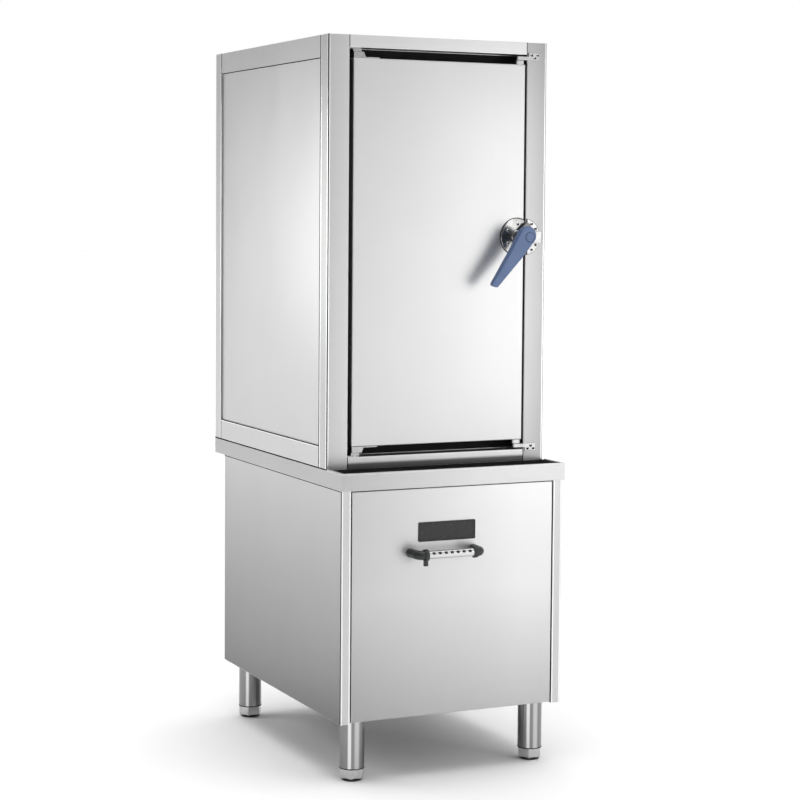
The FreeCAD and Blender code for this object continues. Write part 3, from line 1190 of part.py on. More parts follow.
drain_lever = new_body("drain_lever", "drain_across", "drain_valve_deep",
                       "drain_height + drain_valve_size / 2")
disc(drain_lever, FLOOR, "drain_lever_gap - drain_stem_depth", "drain_stem_depth", "0", "0",
     "drain_stem_radius")
block(drain_lever, FLOOR, "drain_lever_gap", "drain_lever_thickness", "-drain_lever_length",
      "-drain_lever_width / 2", "drain_lever_length + drain_lever_width / 2",
      "drain_lever_width")
dress(drain_lever, "Fillet", "drain_stem_radius", lambda edge: runs_along(edge, 2))
finish(drain_lever)

# Control box on the right side of the base, and the cable gland at the back
control = new_body("control_box", "base_right - skin - control_width",
                   "base_front + control_setback", "floor_top + control_lift")
block(control, FLOOR, "0", "control_height", "0", "0", "control_width", "control_depth")
dress(control, "Fillet", "control_radius", lambda edge: near(edge.BoundBox.XMax, "0"))
recess(control, SIDE, "skin", "control_width - skin", "skin", "skin",
       "control_depth - 2 * skin", "control_height - 2 * skin")
finish(control)

gland = new_body("cable_gland", "base_right - gland_offset", "base_back - skin",
                 "ground_clearance + rear_fitting_level")
turn(gland, FLOOR, ("gland_bore", "-skin - gland_nut"), ("gland_radius", "-skin - gland_nut"),
     ("gland_radius", "-skin"), ("gland_sleeve", "-skin"), ("gland_sleeve", "0"),
     ("gland_radius", "0"), ("gland_radius", "gland_length / 2"),
     ("gland_tip", "gland_length"), ("gland_bore", "gland_length"))
finish(gland)

# Legs with threaded levelling feet and rubber pads
leg = new_body("left_leg", "leg_left", "leg_front", "leg_bottom")
LEG_HEIGHT = "(leg_top - leg_plate - leg_bottom)"
disc(leg, FLOOR, "0", LEG_HEIGHT, "0", "0", "leg_radius")
bore(leg, FLOOR, "leg_bush", f"{LEG_HEIGHT} - leg_bush", "0", "0", "leg_radius - leg_wall")
block(leg, FLOOR, LEG_HEIGHT, "leg_plate", "-leg_plate_size / 2",
      "flap_thickness + floor_setback - leg_inset", "leg_plate_size",
      "leg_plate_size / 2 + leg_inset - flap_thickness - floor_setback")
bore(leg, FLOOR, "0", "leg_bush", "0", "0", "foot_stem_radius + running_play")
front_legs = group("front_legs", [leg, copy_to(leg, "leg_right", "leg_front", "leg_bottom")])
finish(group("leg_tubes",
             [front_legs, mirror("rear_legs", front_legs, "y", "base_front + base_depth / 2")]))

HEX_RADIUS = "foot_flats / sqrt(3)"
HEX_CORNERS = [(f"{HEX_RADIUS} * cos({angle} * 1 deg)", f"{HEX_RADIUS} * sin({angle} * 1 deg)")
               for angle in range(0, 360, 60)]
for depth_word in ("front", "rear"):
    for side_word in ("left", "right"):
        spot = (f"leg_{side_word}", "leg_front" if depth_word == "front" else "leg_back", "0")
        foot = new_body(f"foot_{depth_word}_{side_word}", *spot)
        shape(foot, FLOOR, "pad_height", "foot_height", *HEX_CORNERS)
        dress(foot, "Chamfer", "foot_bevel", lambda edge: near(edge.BoundBox.ZMax, "pad_height"))
        disc(foot, FLOOR, "leg_bottom", "foot_stem_length", "0", "0", "foot_stem_radius")
        finish(foot)
        rubber = new_body(f"pad_{depth_word}_{side_word}", *spot)
        disc(rubber, FLOOR, "0", "pad_height", "0", "0", "pad_radius")
        dress(rubber, "Chamfer", "pad_taper", lambda edge: near(edge.BoundBox.ZMax, "0"))
        finish(rubber)

model.recompute()


def check(piece):
    """Stop if a finished piece isn't a sound solid."""
    if piece.Shape.isNull() or not piece.Shape.isValid() or not piece.Shape.Solids:
        raise RuntimeError(f"{piece.Label}: not a valid solid")


for item in model.Objects:
    if "Invalid" in item.State or "Error" in item.State:
        raise RuntimeError(f"{item.Label}: {item.State}")
os.makedirs("parts", exist_ok=True)
for piece in finished:
    check(piece)
    piece.Shape.exportStep(f"parts/{piece.Label}.step")
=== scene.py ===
"""Looks of the steam cabinet: procedural finishes, fine visible pieces, camera and studio light.

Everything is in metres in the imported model's frame: +X to the right of the front, +Y to the
back, +Z up, with the origin on the floor under the middle of the cabinet.
"""

import json
import logging
import math
from collections.abc import Iterable
from dataclasses import dataclass, field
from enum import Enum

import bmesh
import bpy
from mathutils import Matrix, Vector


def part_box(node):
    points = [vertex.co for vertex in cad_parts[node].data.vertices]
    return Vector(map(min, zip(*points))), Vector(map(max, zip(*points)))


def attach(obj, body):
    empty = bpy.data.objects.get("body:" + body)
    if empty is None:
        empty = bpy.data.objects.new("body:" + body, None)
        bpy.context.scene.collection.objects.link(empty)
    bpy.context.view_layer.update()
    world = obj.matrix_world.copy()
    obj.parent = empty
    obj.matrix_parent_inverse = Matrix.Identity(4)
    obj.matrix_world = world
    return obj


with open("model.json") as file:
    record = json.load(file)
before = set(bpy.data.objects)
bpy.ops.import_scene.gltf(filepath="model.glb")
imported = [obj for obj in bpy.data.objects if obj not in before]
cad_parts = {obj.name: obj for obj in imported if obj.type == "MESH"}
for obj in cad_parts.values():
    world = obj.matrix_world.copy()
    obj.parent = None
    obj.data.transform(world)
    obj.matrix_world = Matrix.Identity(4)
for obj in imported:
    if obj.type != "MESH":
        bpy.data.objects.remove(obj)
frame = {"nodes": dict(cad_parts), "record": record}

LOG = logging.getLogger("steam_cabinet")
MM = 0.001
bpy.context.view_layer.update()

Colour = tuple[float, float, float]
Direction = tuple[float, float, float]
Place = tuple[float, float, float]

BEVEL_SAMPLES = 4
NOISE_LOW = 0.3
NOISE_HIGH = 0.7
EDGE_BEGINS = 0.995
EDGE_IS_FULL = 0.93
AHEAD: Direction = (0.0, -1.0, 0.0)
AHEAD_BEGINS = 0.5
AHEAD_IS_FULL = 0.9


class Grain(Enum):
    """Direction in which a sheet's brushing runs, as the stretch of its noise along X, Y and Z."""

    UPRIGHT = (900.0, 900.0, 9.0)
    ACROSS = (9.0, 9.0, 900.0)
    ROUND = (260.0, 260.0, 260.0)


@dataclass(frozen=True)
class PaintedShade:
    """Painted shade: a slow change of tone along one axis of the object, darker towards the start.

    The tone is multiplied by the share up to the start, and is unchanged from the end on. Both are
    places on the axis in metres. Faces that look to the front may be spared.
    """

    axis: str
    start: float
    end: float
    share: float
    spares_front: bool = False


@dataclass(frozen=True)
class PaintedGlint:
    """A painted highlight: a bright upright glint streak on a round tube, where it faces one
    direction or its opposite.

    The start and the end are cosines of the angle from that direction, between which it grows.
    """

    direction: Direction
    start: float
    end: float
    tone: Colour


class NodeKit:
    """A small builder for one material's node tree."""

    def __init__(self, name: str) -> None:
        """Start an empty principled material.

        Args:
            name: The material's name.
        """
        self.material = bpy.data.materials.new(name)
        self.material.use_nodes = True
        self.tree = self.material.node_tree
        self.shader = self.tree.nodes["Principled BSDF"]
        self.place = self.tree.nodes.new("ShaderNodeTexCoord").outputs["Object"]

    def add(self, kind: str, **settings: object) -> bpy.types.Node:
        """Add a node.

        Args:
            kind: The node's class name without its ShaderNode prefix.
            settings: Properties to set on it.

        Returns:
            The new node.
        """
        node = self.tree.nodes.new(f"ShaderNode{kind}")
        for key, setting in settings.items():
            setattr(node, key, setting)
        return node

    def join(self, source: bpy.types.NodeSocket, target: bpy.types.NodeSocket) -> None:
        """Link one socket to another.

        Args:
            source: The output.
            target: The input.
        """
        self.tree.links.new(source, target)

    def noise(
        self, stretch: tuple[float, float, float], detail: float = 3.0, roughness: float = 0.5
    ) -> bpy.types.NodeSocket:
        """Add a noise over the object's own coordinates.

        Args:
            stretch: Noise cells per metre along X, Y and Z.
            detail: Octaves.
            roughness: How strong the small octaves are.

        Returns:
            The noise value's output.
        """
        mapping = self.add("Mapping")
        mapping.inputs["Scale"].default_value = stretch
        self.join(self.place, mapping.inputs["Vector"])
        noise = self.add("TexNoise")
        noise.inputs["Scale"].default_value = 1.0
        noise.inputs["Detail"].default_value = detail
        noise.inputs["Roughness"].default_value = roughness
        self.join(mapping.outputs["Vector"], noise.inputs["Vector"])
        return noise.outputs["Fac"]

    def fit(
        self, source: bpy.types.NodeSocket, low: float, high: float,
        start: float = NOISE_LOW, end: float = NOISE_HIGH
    ) -> bpy.types.NodeSocket:
        """Map a span of a value to another span, and hold it beyond.

        Args:
            source: The value.
            low: What the start becomes.
            high: What the end becomes.
            start: The span's start, by default where a noise usually begins.
            end: The span's end, by default where a noise usually stops.

        Returns:
            The mapped value's output.
        """
        span = self.add("MapRange")
        span.inputs["From Min"].default_value = start
        span.inputs["From Max"].default_value = end
        span.inputs["To Min"].default_value = low
        span.inputs["To Max"].default_value = high
        self.join(source, span.inputs["Value"])
        return span.outputs["Result"]

    def blend(
        self, amount: bpy.types.NodeSocket, first: Colour, second: Colour
    ) -> bpy.types.NodeSocket:
        """Mix two colours.

        Args:
            amount: How much of the second colour shows.
            first: The first colour.
            second: The second colour.

        Returns:
            The mixed colour's output.
        """
        mix = self.add("Mix", data_type="RGBA")
        mix.inputs["A"].default_value = (*first, 1.0)
        mix.inputs["B"].default_value = (*second, 1.0)
        self.join(amount, mix.inputs["Factor"])
        return mix.outputs["Result"]

    def fade(self, fade: PaintedShade, source: bpy.types.NodeSocket) -> bpy.types.NodeSocket:
        """Darken a colour along one axis, as painted shade.

        Args:
            fade: Where and how much.
            source: The colour's output.

        Returns:
            The faded colour's output.
        """
        parts = self.add("SeparateXYZ")
        self.join(self.place, parts.inputs["Vector"])
        amount = self.fit(parts.outputs[fade.axis], fade.share, 1.0, fade.start, fade.end)
        if fade.spares_front:
            kept = self.add("Math", operation="MAXIMUM")
            self.join(amount, kept.inputs[0])
            self.join(self.facing(AHEAD, AHEAD_BEGINS, AHEAD_IS_FULL), kept.inputs[1])
            amount = kept.outputs["Value"]
        scale = self.add("VectorMath", operation="SCALE")
        self.join(source, scale.inputs[0])
        self.join(amount, scale.inputs["Scale"])
        return scale.outputs["Vector"]

    def facing(
        self, direction: Direction, start: float, end: float, both_ways: bool = False
    ) -> bpy.types.NodeSocket:
        """Find where the surface faces one direction.

        Args:
            direction: The unit direction.
            start: Cosine of the angle at which the mask begins.
            end: Cosine of the angle from which it is full.
            both_ways: Whether the opposite direction counts too.

        Returns:
            The mask's output.
        """
        surface = self.add("NewGeometry")
        likeness = self.add("VectorMath", operation="DOT_PRODUCT")
        self.join(surface.outputs["Normal"], likeness.inputs[0])
        likeness.inputs[1].default_value = direction
        value = likeness.outputs["Value"]
        if both_ways:
            size = self.add("Math", operation="ABSOLUTE")
            self.join(value, size.inputs[0])
            value = size.outputs["Value"]
        return self.fit(value, 0.0, 1.0, start, end)

    def edge_mask(self, radius: float) -> bpy.types.NodeSocket:
        """Find where the surface lies within a small distance of a sharp edge.

        Args:
            radius: That distance in metres.

        Returns:
            The mask's output, 0 on flat sheet and 1 at an edge.
        """
        rounding = self.add("Bevel", samples=BEVEL_SAMPLES)
        rounding.inputs["Radius"].default_value = radius
        surface = self.add("NewGeometry")
        likeness = self.add("VectorMath", operation="DOT_PRODUCT")
        self.join(rounding.outputs["Normal"], likeness.inputs[0])
        self.join(surface.outputs["Normal"], likeness.inputs[1])
        return self.fit(likeness.outputs["Value"], 0.0, 1.0, EDGE_BEGINS, EDGE_IS_FULL)

    def mix_in(
        self, amount: bpy.types.NodeSocket, source: bpy.types.NodeSocket, other: Colour,
        share: float
    ) -> bpy.types.NodeSocket:
        """Lay a colour over another where a mask says so.

        Args:
            amount: The mask.
            source: The colour below.
            other: The colour laid over it.
            share: How strongly it covers at the mask's full value.

        Returns:
            The mixed colour's output.
        """
        mix = self.add("Mix", data_type="RGBA")
        self.join(source, mix.inputs["A"])
        mix.inputs["B"].default_value = (*other, 1.0)
        self.join(self.fit(amount, 0.0, share, 0.0, 1.0), mix.inputs["Factor"])
        return mix.outputs["Result"]

    def relief(
        self, height: bpy.types.NodeSocket, strength: float, depth: float, edge: float
    ) -> None:
        """Give the surface a bump over softly rounded edges.

        Args:
            height: The bump's height, 0 to 1.
            strength: How much of it shows.
            depth: The bump's full height in metres.
            edge: Radius in metres that sharp edges seem to have.
        """
        bump = self.add("Bump")
        bump.inputs["Strength"].default_value = strength
        bump.inputs["Distance"].default_value = depth
        self.join(height, bump.inputs["Height"])
        if edge > 0:
            rounding = self.add("Bevel", samples=BEVEL_SAMPLES)
            rounding.inputs["Radius"].default_value = edge
            self.join(rounding.outputs["Normal"], bump.inputs["Normal"])
        self.join(bump.outputs["Normal"], self.shader.inputs["Normal"])


@dataclass(frozen=True)
class Steel:
    """Stainless steel: brushed grain, faint random cloudiness, wiping marks in the roughness, and
    a painted highlight along sharp edges, which becomes painted shade where the edge tone is dark.
    Some copies also add painted shade along an axis, painted glint streaks, and cloudiness strong
    enough to paint a reflection.
    """

    name: str
    slot: str
    tone: Colour
    roughness: float = 0.34
    grain: Grain = Grain.UPRIGHT
    edge: float = 2.0 * MM
    # Random cloudiness; on the latch disc it is strong enough to paint a patchy reflection.
    clouds_and_painted_reflection: float = 0.03
    cloud_scale: float = 4.0
    # The edge tone paints a highlight along sharp edges when it is light, and paints shade when it
    # is dark.
    painted_edge_tone: Colour = (0.93, 0.93, 0.93)
    painted_edge_share: float = 0.75
    # Painted shade along the object's axes.
    painted_shades: tuple[PaintedShade, ...] = ()
    # Painted glint streaks on round tubes.
    painted_glints: tuple[PaintedGlint, ...] = ()
    grain_swing: float = 0.02
    smear_cells: tuple[float, float, float] = (7.0, 7.0, 3.0)
    smear_swing: float = 0.01
    relief_strength: float = 0.08
    relief_depth: float = 0.03 * MM

    def build(self) -> bpy.types.Material:
        """Make the material.

        Returns:
            The finished material.
        """
        kit = NodeKit(self.name)
        grain = kit.noise(self.grain.value, detail=4.0, roughness=0.6)
        cloud = kit.noise((self.cloud_scale,) * 3, detail=2.0)
        smear = kit.noise(self.smear_cells, detail=2.0)
        darker = tuple(channel * (1.0 - self.clouds_and_painted_reflection) for channel in self.tone)
        colour = kit.blend(kit.fit(cloud, 0.0, 1.0), self.tone, darker)
        # Painted shade: the tone darkens along the given axes.
        for fade in self.painted_shades:
            colour = kit.fade(fade, colour)
        # Painted highlight: bright glint streaks where the tube faces given directions.
        for painted_glint in self.painted_glints:
            mask = kit.facing(painted_glint.direction, painted_glint.start, painted_glint.end, both_ways=True)
            colour = kit.mix_in(mask, colour, painted_glint.tone, 1.0)
        # Painted highlight along sharp edges, painted shade where the edge tone is dark.
        colour = kit.mix_in(kit.edge_mask(self.edge), colour, self.painted_edge_tone, self.painted_edge_share)
        kit.join(colour, kit.shader.inputs["Base Color"])
        total = kit.add("Math", operation="ADD")
        kit.join(kit.fit(grain, self.roughness - self.grain_swing,
                         self.roughness + self.grain_swing), total.inputs[0])
        kit.join(kit.fit(smear, -self.smear_swing, self.smear_swing), total.inputs[1])
        kit.join(total.outputs["Value"], kit.shader.inputs["Roughness"])
        kit.shader.inputs["Metallic"].default_value = 1.0
        kit.relief(grain, self.relief_strength, self.relief_depth, self.edge)
        return kit.material


@dataclass(frozen=True)
class Moulded:
    """Moulded plastic or rubber: fine texture, slight mottling, and painted shade along sharp
    edges.
    """

    name: str
    slot: str
    tone: Colour
    roughness: float = 0.45
    texture: float = 900.0
    depth: float = 0.04 * MM
    edge: float = 0.6 * MM
    sheen: float = 0.5
    # The edge tone paints shade along sharp edges.
    painted_edge_tone: Colour = (0.30, 0.30, 0.30)
    painted_edge_share: float = 0.10
    mottle_cells: float = 30.0
    mottle_gain: float = 1.10
    mottle_lift: float = 0.004
    smoother: float = 0.05
    rougher: float = 0.07
    relief_strength: float = 0.25

    def build(self) -> bpy.types.Material:
        """Make the material.

        Returns:
            The finished material.
        """
        kit = NodeKit(self.name)
        pores = kit.noise((self.texture,) * 3, detail=2.0)
        mottle = kit.noise((self.mottle_cells,) * 3, detail=2.0)
        lighter = tuple(min(1.0, channel * self.mottle_gain + self.mottle_lift)
                        for channel in self.tone)
        colour = kit.blend(kit.fit(mottle, 0.0, 1.0), self.tone, lighter)
        # Painted shade along sharp edges.
        colour = kit.mix_in(kit.edge_mask(self.edge), colour, self.painted_edge_tone, self.painted_edge_share)
        kit.join(colour, kit.shader.inputs["Base Color"])
        kit.join(kit.fit(pores, self.roughness - self.smoother, self.roughness + self.rougher),
                 kit.shader.inputs["Roughness"])
        kit.shader.inputs["Specular IOR Level"].default_value = self.sheen
        kit.relief(pores, self.relief_strength, self.depth, self.edge)
        return kit.material


@dataclass(frozen=True)
class Fibrous:
    """Wool or wood: coarse fibres in two tones."""

    name: str
    slot: str
    light: Colour
    dark: Colour
    stretch: tuple[float, float, float] = (240.0, 240.0, 240.0)
    depth: float = 1.0 * MM
    roughness: float = 0.92
    relief_strength: float = 0.6

    def build(self) -> bpy.types.Material:
        """Make the material.

        Returns:
            The finished material.
        """
        kit = NodeKit(self.name)
        fibres = kit.noise(self.stretch, detail=6.0, roughness=0.7)
        kit.join(kit.blend(kit.fit(fibres, 0.0, 1.0), self.light, self.dark),
                 kit.shader.inputs["Base Color"])
        kit.shader.inputs["Roughness"].default_value = self.roughness
        kit.relief(fibres, self.relief_strength, self.depth, edge=0.0)
        return kit.material


Finish = Steel | Moulded | Fibrous

# Edge tone that paints shade along sharp edges.
PAINTED_EDGE_SHADE: Colour = (0.02, 0.02, 0.02)

FINISHES: dict[str, Finish] = {
    finish.name: finish
    for finish in (
        Steel("sheet_steel", "sheet_steel", (0.60, 0.60, 0.60), 0.36),
        # Painted shade: the base's sheets darken towards the floor, except faces that look ahead.
        Steel("base_sheet_painted_shade", "sheet_steel", (0.59, 0.59, 0.59), 0.36,
              painted_shades=(PaintedShade("Z", 0.15, 0.76, 0.28, spares_front=True),)),
        # Painted light: the flap is lighter than plain sheet, and darkens towards the bottom and
        # the left as painted shade.
        Steel("flap_sheet_painted_light", "sheet_steel", (0.74, 0.74, 0.74), 0.36,
              painted_shades=(PaintedShade("Z", 0.15, 0.45, 0.68), PaintedShade("X", -0.27, 0.17, 0.74))),
        # Painted shade: the worktop darkens towards the left.
        Steel("worktop_sheet_painted_shade", "sheet_steel", (0.60, 0.60, 0.60), 0.36,
              painted_shades=(PaintedShade("X", -0.30, 0.05, 0.80),)),
        # Painted shade: the base floor's tray is a darker copy of the sheet steel.
        Steel("tray_sheet_painted_shade", "sheet_steel", (0.28, 0.28, 0.28), 0.42),
        Steel("frame_steel", "frame_steel", (0.60, 0.60, 0.60), 0.33),
        # Painted light: the front stiles are lighter than the frame and darken towards their outer
        # edges as painted shade.
        Steel("stile_steel_painted_light", "frame_steel", (0.66, 0.66, 0.66), 0.33,
              painted_shades=(PaintedShade("X", -0.30, -0.20, 0.80), PaintedShade("X", 0.30, 0.10, 0.48))),
        # Painted light: the front rails are lighter than the frame, and the low rail's lower band
        # is dark as a painted reflection.
        Steel("rail_steel_painted_light", "frame_steel", (0.68, 0.68, 0.68), 0.33,
              painted_shades=(PaintedShade("Z", 0.757, 0.763, 0.22),)),
        Steel("liner_steel", "liner_steel", (0.70, 0.71, 0.71), 0.28, Grain.ACROSS),
        # The fittings darken their edges with painted shade.
        Steel("fitting_steel", "fitting_steel", (0.50, 0.50, 0.50), 0.24, Grain.ROUND,
              0.8 * MM, 0.20, 60.0, PAINTED_EDGE_SHADE, 0.85),
        # Painted reflection: the latch disc's strong cloudiness paints its patchy reflection, and
        # its edges carry painted shade.
        Steel("disc_steel_painted_reflection", "fitting_steel", (0.52, 0.52, 0.51), 0.20, Grain.ROUND,
              1.1 * MM, 0.75, 24.0, PAINTED_EDGE_SHADE, 0.85),
        Steel("dark_steel", "dark_steel", (0.20, 0.20, 0.205), 0.38, Grain.ROUND, 0.8 * MM, 0.12),
        # The screws and tubes darken their edges with painted shade.
        Steel("screw_steel", "screw_steel", (0.62, 0.62, 0.62), 0.20, Grain.ROUND, 0.4 * MM,
              painted_edge_tone=PAINTED_EDGE_SHADE),
        Steel("tube_steel", "tube_steel", (0.66, 0.66, 0.66), 0.20, Grain.ACROSS, 0.8 * MM,
              painted_edge_tone=PAINTED_EDGE_SHADE),
        # Painted light: the legs are a darker copy of the tube steel, with painted glint streaks.
        Steel("leg_steel_painted_light", "tube_steel", (0.24, 0.24, 0.24), 0.14, Grain.ACROSS, 1.0 * MM,
              painted_glints=(PaintedGlint((-0.581, -0.814, 0.0), 0.985, 0.997, (0.74, 0.74, 0.74)),
                       PaintedGlint((0.0, -1.0, 0.0), 0.965, 0.995, (0.52, 0.52, 0.52)))),
        Steel("foot_steel", "tube_steel", (0.58, 0.58, 0.58), 0.16, Grain.ROUND, 1.0 * MM, 0.2,
              50.0),
        # Painted highlight: bright strips beside folds and round the latch's collar.
        Steel("painted_fold_highlight", "frame_steel", (0.93, 0.93, 0.93), 0.22, edge=0.0),
        Steel("element_sheath", "element_sheath", (0.36, 0.30, 0.26), 0.40, Grain.ROUND,
              0.4 * MM, 0.25),
        Steel("valve_brass", "valve_brass", (0.72, 0.53, 0.24), 0.30, Grain.ROUND, 0.5 * MM,
              0.12, painted_edge_share=0.2),
        Moulded("control_paint", "control_paint", (0.52, 0.53, 0.54), 0.42),
        # The lever's edges carry strong painted shade.
        Moulded("lever_blue", "lever_blue", (0.092, 0.145, 0.285), 0.42, 1100.0, 0.03 * MM,
                2.6 * MM, painted_edge_tone=(0.006, 0.012, 0.030), painted_edge_share=0.92),
        Moulded("mount_plastic", "mount_plastic", (0.016, 0.019, 0.019), 0.40),
        Moulded("display_frame", "display_frame", (0.008, 0.008, 0.008), 0.45, edge=1.2 * MM),
        Moulded("display_glass", "display_glass", (0.014, 0.014, 0.014), 0.24, 60.0,
                0.002 * MM),
        # Dark lines: real sealed joints, and painted shade along corners, round plates, in screw
        # sockets, under overhangs and at the leg feet.
        Moulded("joint_sealant_and_painted_shade", "gasket_rubber", (0.010, 0.010, 0.010), 0.85, 500.0, sheen=0.0,
                edge=0.0),
        # Painted shade: a dark sheet on the worktop recess floor.
        Moulded("recess_shade_sheet", "gasket_rubber", (0.012, 0.012, 0.012), 0.90, 500.0,
                sheen=0.0, painted_edge_share=0.0),
        Moulded("gasket_rubber", "gasket_rubber", (0.012, 0.012, 0.012), 0.70, 500.0,
                sheen=0.1, painted_edge_share=0.0),
        Moulded("pad_rubber", "pad_rubber", (0.020, 0.020, 0.020), 0.70, 400.0, 0.10 * MM),
        Moulded("float_plastic", "float_plastic", (0.78, 0.78, 0.74), 0.38),
        Fibrous("insulation_wool", "insulation_wool", (0.74, 0.66, 0.42), (0.56, 0.47, 0.26)),
        Fibrous("board_core", "board_core", (0.56, 0.40, 0.25), (0.38, 0.26, 0.15),
                (160.0, 12.0, 160.0), 0.3 * MM),
    )
}

NODE_SLOTS: dict[str, str] = {
    entry["node"]: entry["material_slot"] for entry in frame["record"]["subparts"]
}

SPECIAL_FINISHES: dict[str, str] = {
    "base_sides": "base_sheet_painted_shade",
    "base_back_panel": "base_sheet_painted_shade",
    "base_floor": "tray_sheet_painted_shade",
    "countertop": "worktop_sheet_painted_shade",
    "front_stiles": "stile_steel_painted_light",
    "front_rails": "rail_steel_painted_light",
    "front_flap": "flap_sheet_painted_light",
    "latch_plate": "disc_steel_painted_reflection",
    "leg_tubes": "leg_steel_painted_light",
    "foot_front_left": "foot_steel",
    "foot_front_right": "foot_steel",
    "foot_rear_left": "foot_steel",
    "foot_rear_right": "foot_steel",
}


@dataclass
class Wardrobe:
    """Keeps one material for each finish and dresses nodes and pieces with it."""

    made: dict[str, bpy.types.Material] = field(default_factory=dict)

    def dress(self, obj: bpy.types.Object, finish: str) -> None:
        """Give an object one material.

        Args:
            obj: The object.
            finish: The name of its finish.
        """
        if finish not in self.made:
            self.made[finish] = FINISHES[finish].build()
        obj.data.materials.clear()
        obj.data.materials.append(self.made[finish])

    def dress_nodes(self) -> None:
        """Give every CAD node its finish."""
        for name, node in frame["nodes"].items():
            self.dress(node, SPECIAL_FINISHES.get(name, NODE_SLOTS[name]))
            LOG.info("dressed %s", name)

    def hang(self, name: str, mesh: bpy.types.Mesh, finish: str, body: str) -> bpy.types.Object:
        """Add a piece that moves with a body.

        Args:
            name: The piece's name.
            mesh: Its mesh, in the frame's metres.
            finish: The name of its finish.
            body: The body it rides on.

        Returns:
            The new piece.
        """
        piece = bpy.data.objects.new(name, mesh)
        bpy.context.scene.collection.objects.link(piece)
        self.dress(piece, finish)
        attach(piece, body)
        LOG.info("made %s on %s", name, body)
        return piece


@dataclass(frozen=True)
class Run:
    """One straight stretch of a thin line on a flat face."""

    start: Vector
    end: Vector
    outward: Vector


@dataclass(frozen=True)
class Bead:
    """The cross-section of a thin rounded line: half an ellipse that stands on its face."""

    width: float
    height: float
    steps: int = 6

    def section(self, centre: Vector, across: Vector, outward: Vector) -> list[Vector]:
        """Place the cross-section's points.

        Args:
            centre: The middle of its foot.
            across: The unit direction of its width.
            outward: The unit direction of its height.

        Returns:
            The points from one foot to the other.
        """
        angles = [math.pi * step / self.steps for step in range(self.steps + 1)]
        return [centre + across * (math.cos(angle) * self.width / 2)
                + outward * (math.sin(angle) * self.height) for angle in angles]

    def skin(self, shape: bmesh.types.BMesh, sections: list[list[Vector]], closed: bool) -> None:
        """Join cross-sections into a solid line.

        Args:
            shape: The mesh that takes the line.
            sections: The cross-sections in order.
            closed: Whether the last one joins the first.
        """
        rings = [[shape.verts.new(point) for point in section] for section in sections]
        pairs = list(zip(rings, rings[1:]))
        if closed:
            pairs.append((rings[-1], rings[0]))
        for first, second in pairs:
            for place in range(len(first)):
                after = (place + 1) % len(first)
                shape.faces.new((first[place], first[after], second[after], second[place]))
        if not closed:
            shape.faces.new(rings[0][::-1])
            shape.faces.new(rings[-1])

    def lines(self, name: str, runs: Iterable[Run]) -> bpy.types.Mesh:
        """Make a mesh of straight lines.

        Args:
            name: The mesh's name.
            runs: The stretches that it holds.

        Returns:
            The mesh.
        """
        shape = bmesh.new()
        for run in runs:
            along = (run.end - run.start).normalized()
            across = run.outward.cross(along)
            self.skin(shape, [self.section(point, across, run.outward)
                              for point in (run.start, run.end)], closed=False)
        return finished_mesh(name, shape)

    def arcs(self, name: str, arcs: Iterable["Arc"]) -> bpy.types.Mesh:
        """Make a mesh of lines that run round an axis.

        Args:
            name: The mesh's name.
            arcs: The stretches that it holds.

        Returns:
            The mesh.
        """
        shape = bmesh.new()
        for arc in arcs:
            self.skin(shape, [self.section(arc.point(angle), arc.spoke(angle), arc.outward)
                              for angle in arc.angles()], arc.full)
        return finished_mesh(name, shape)


@dataclass(frozen=True)
class Arc:
    """A stretch of a circle on a flat face, or the whole circle."""

    centre: Vector
    first: Vector
    second: Vector
    radius: float
    start: float = 0.0
    sweep: float = 2 * math.pi
    steps: int = 72

    @property
    def full(self) -> bool:
        """Tell whether this is the whole circle."""
        return self.sweep >= 2 * math.pi

    @property
    def outward(self) -> Vector:
        """Give the face's own direction."""
        return self.first.cross(self.second).normalized()

    def spoke(self, angle: float) -> Vector:
        """Give the unit direction from the centre at an angle in radians."""
        return self.first * math.cos(angle) + self.second * math.sin(angle)

    def point(self, angle: float) -> Vector:
        """Give the point at an angle in radians."""
        return self.centre + self.spoke(angle) * self.radius

    def angles(self) -> list[float]:
        """List the angles of the stretch's cross-sections."""
        count = self.steps if self.full else self.steps + 1
        return [self.start + self.sweep * step / self.steps for step in range(count)]


def finished_mesh(name: str, shape: bmesh.types.BMesh) -> bpy.types.Mesh:
    """Turn a working mesh into a finished one with its faces outward.

    Args:
        name: The mesh's name.
        shape: The working mesh, which is used up.

    Returns:
        The mesh.
    """
    bmesh.ops.recalc_face_normals(shape, faces=shape.faces)
    mesh = bpy.data.meshes.new(name)
    shape.to_mesh(mesh)
    shape.free()
    return mesh


SAME_POINT = 1e-6


def solids_of(node: str) -> list[tuple[Vector, Vector]]:
    """Find the boxes of the separate solids in a CAD node.

    Args:
        node: The node's name.

    Returns:
        The lowest and highest corner of each solid.
    """
    shape = bmesh.new()
    shape.from_mesh(frame["nodes"][node].data)
    bmesh.ops.remove_doubles(shape, verts=shape.verts, dist=SAME_POINT)
    left = set(shape.verts)
    boxes = []
    while left:
        reached = {left.pop()}
        to_follow = list(reached)
        while to_follow:
            vertex = to_follow.pop()
            for link in vertex.link_edges:
                other = link.other_vert(vertex)
                if other in left:
                    left.remove(other)
                    reached.add(other)
                    to_follow.append(other)
        points = [vertex.co for vertex in reached]
        boxes.append((Vector(min(p[k] for p in points) for k in range(3)),
                      Vector(max(p[k] for p in points) for k in range(3))))
    shape.free()
    return boxes


LEFT = Vector((-1, 0, 0))
RIGHT = Vector((1, 0, 0))
FRONT = Vector((0, -1, 0))
UP = Vector((0, 0, 1))


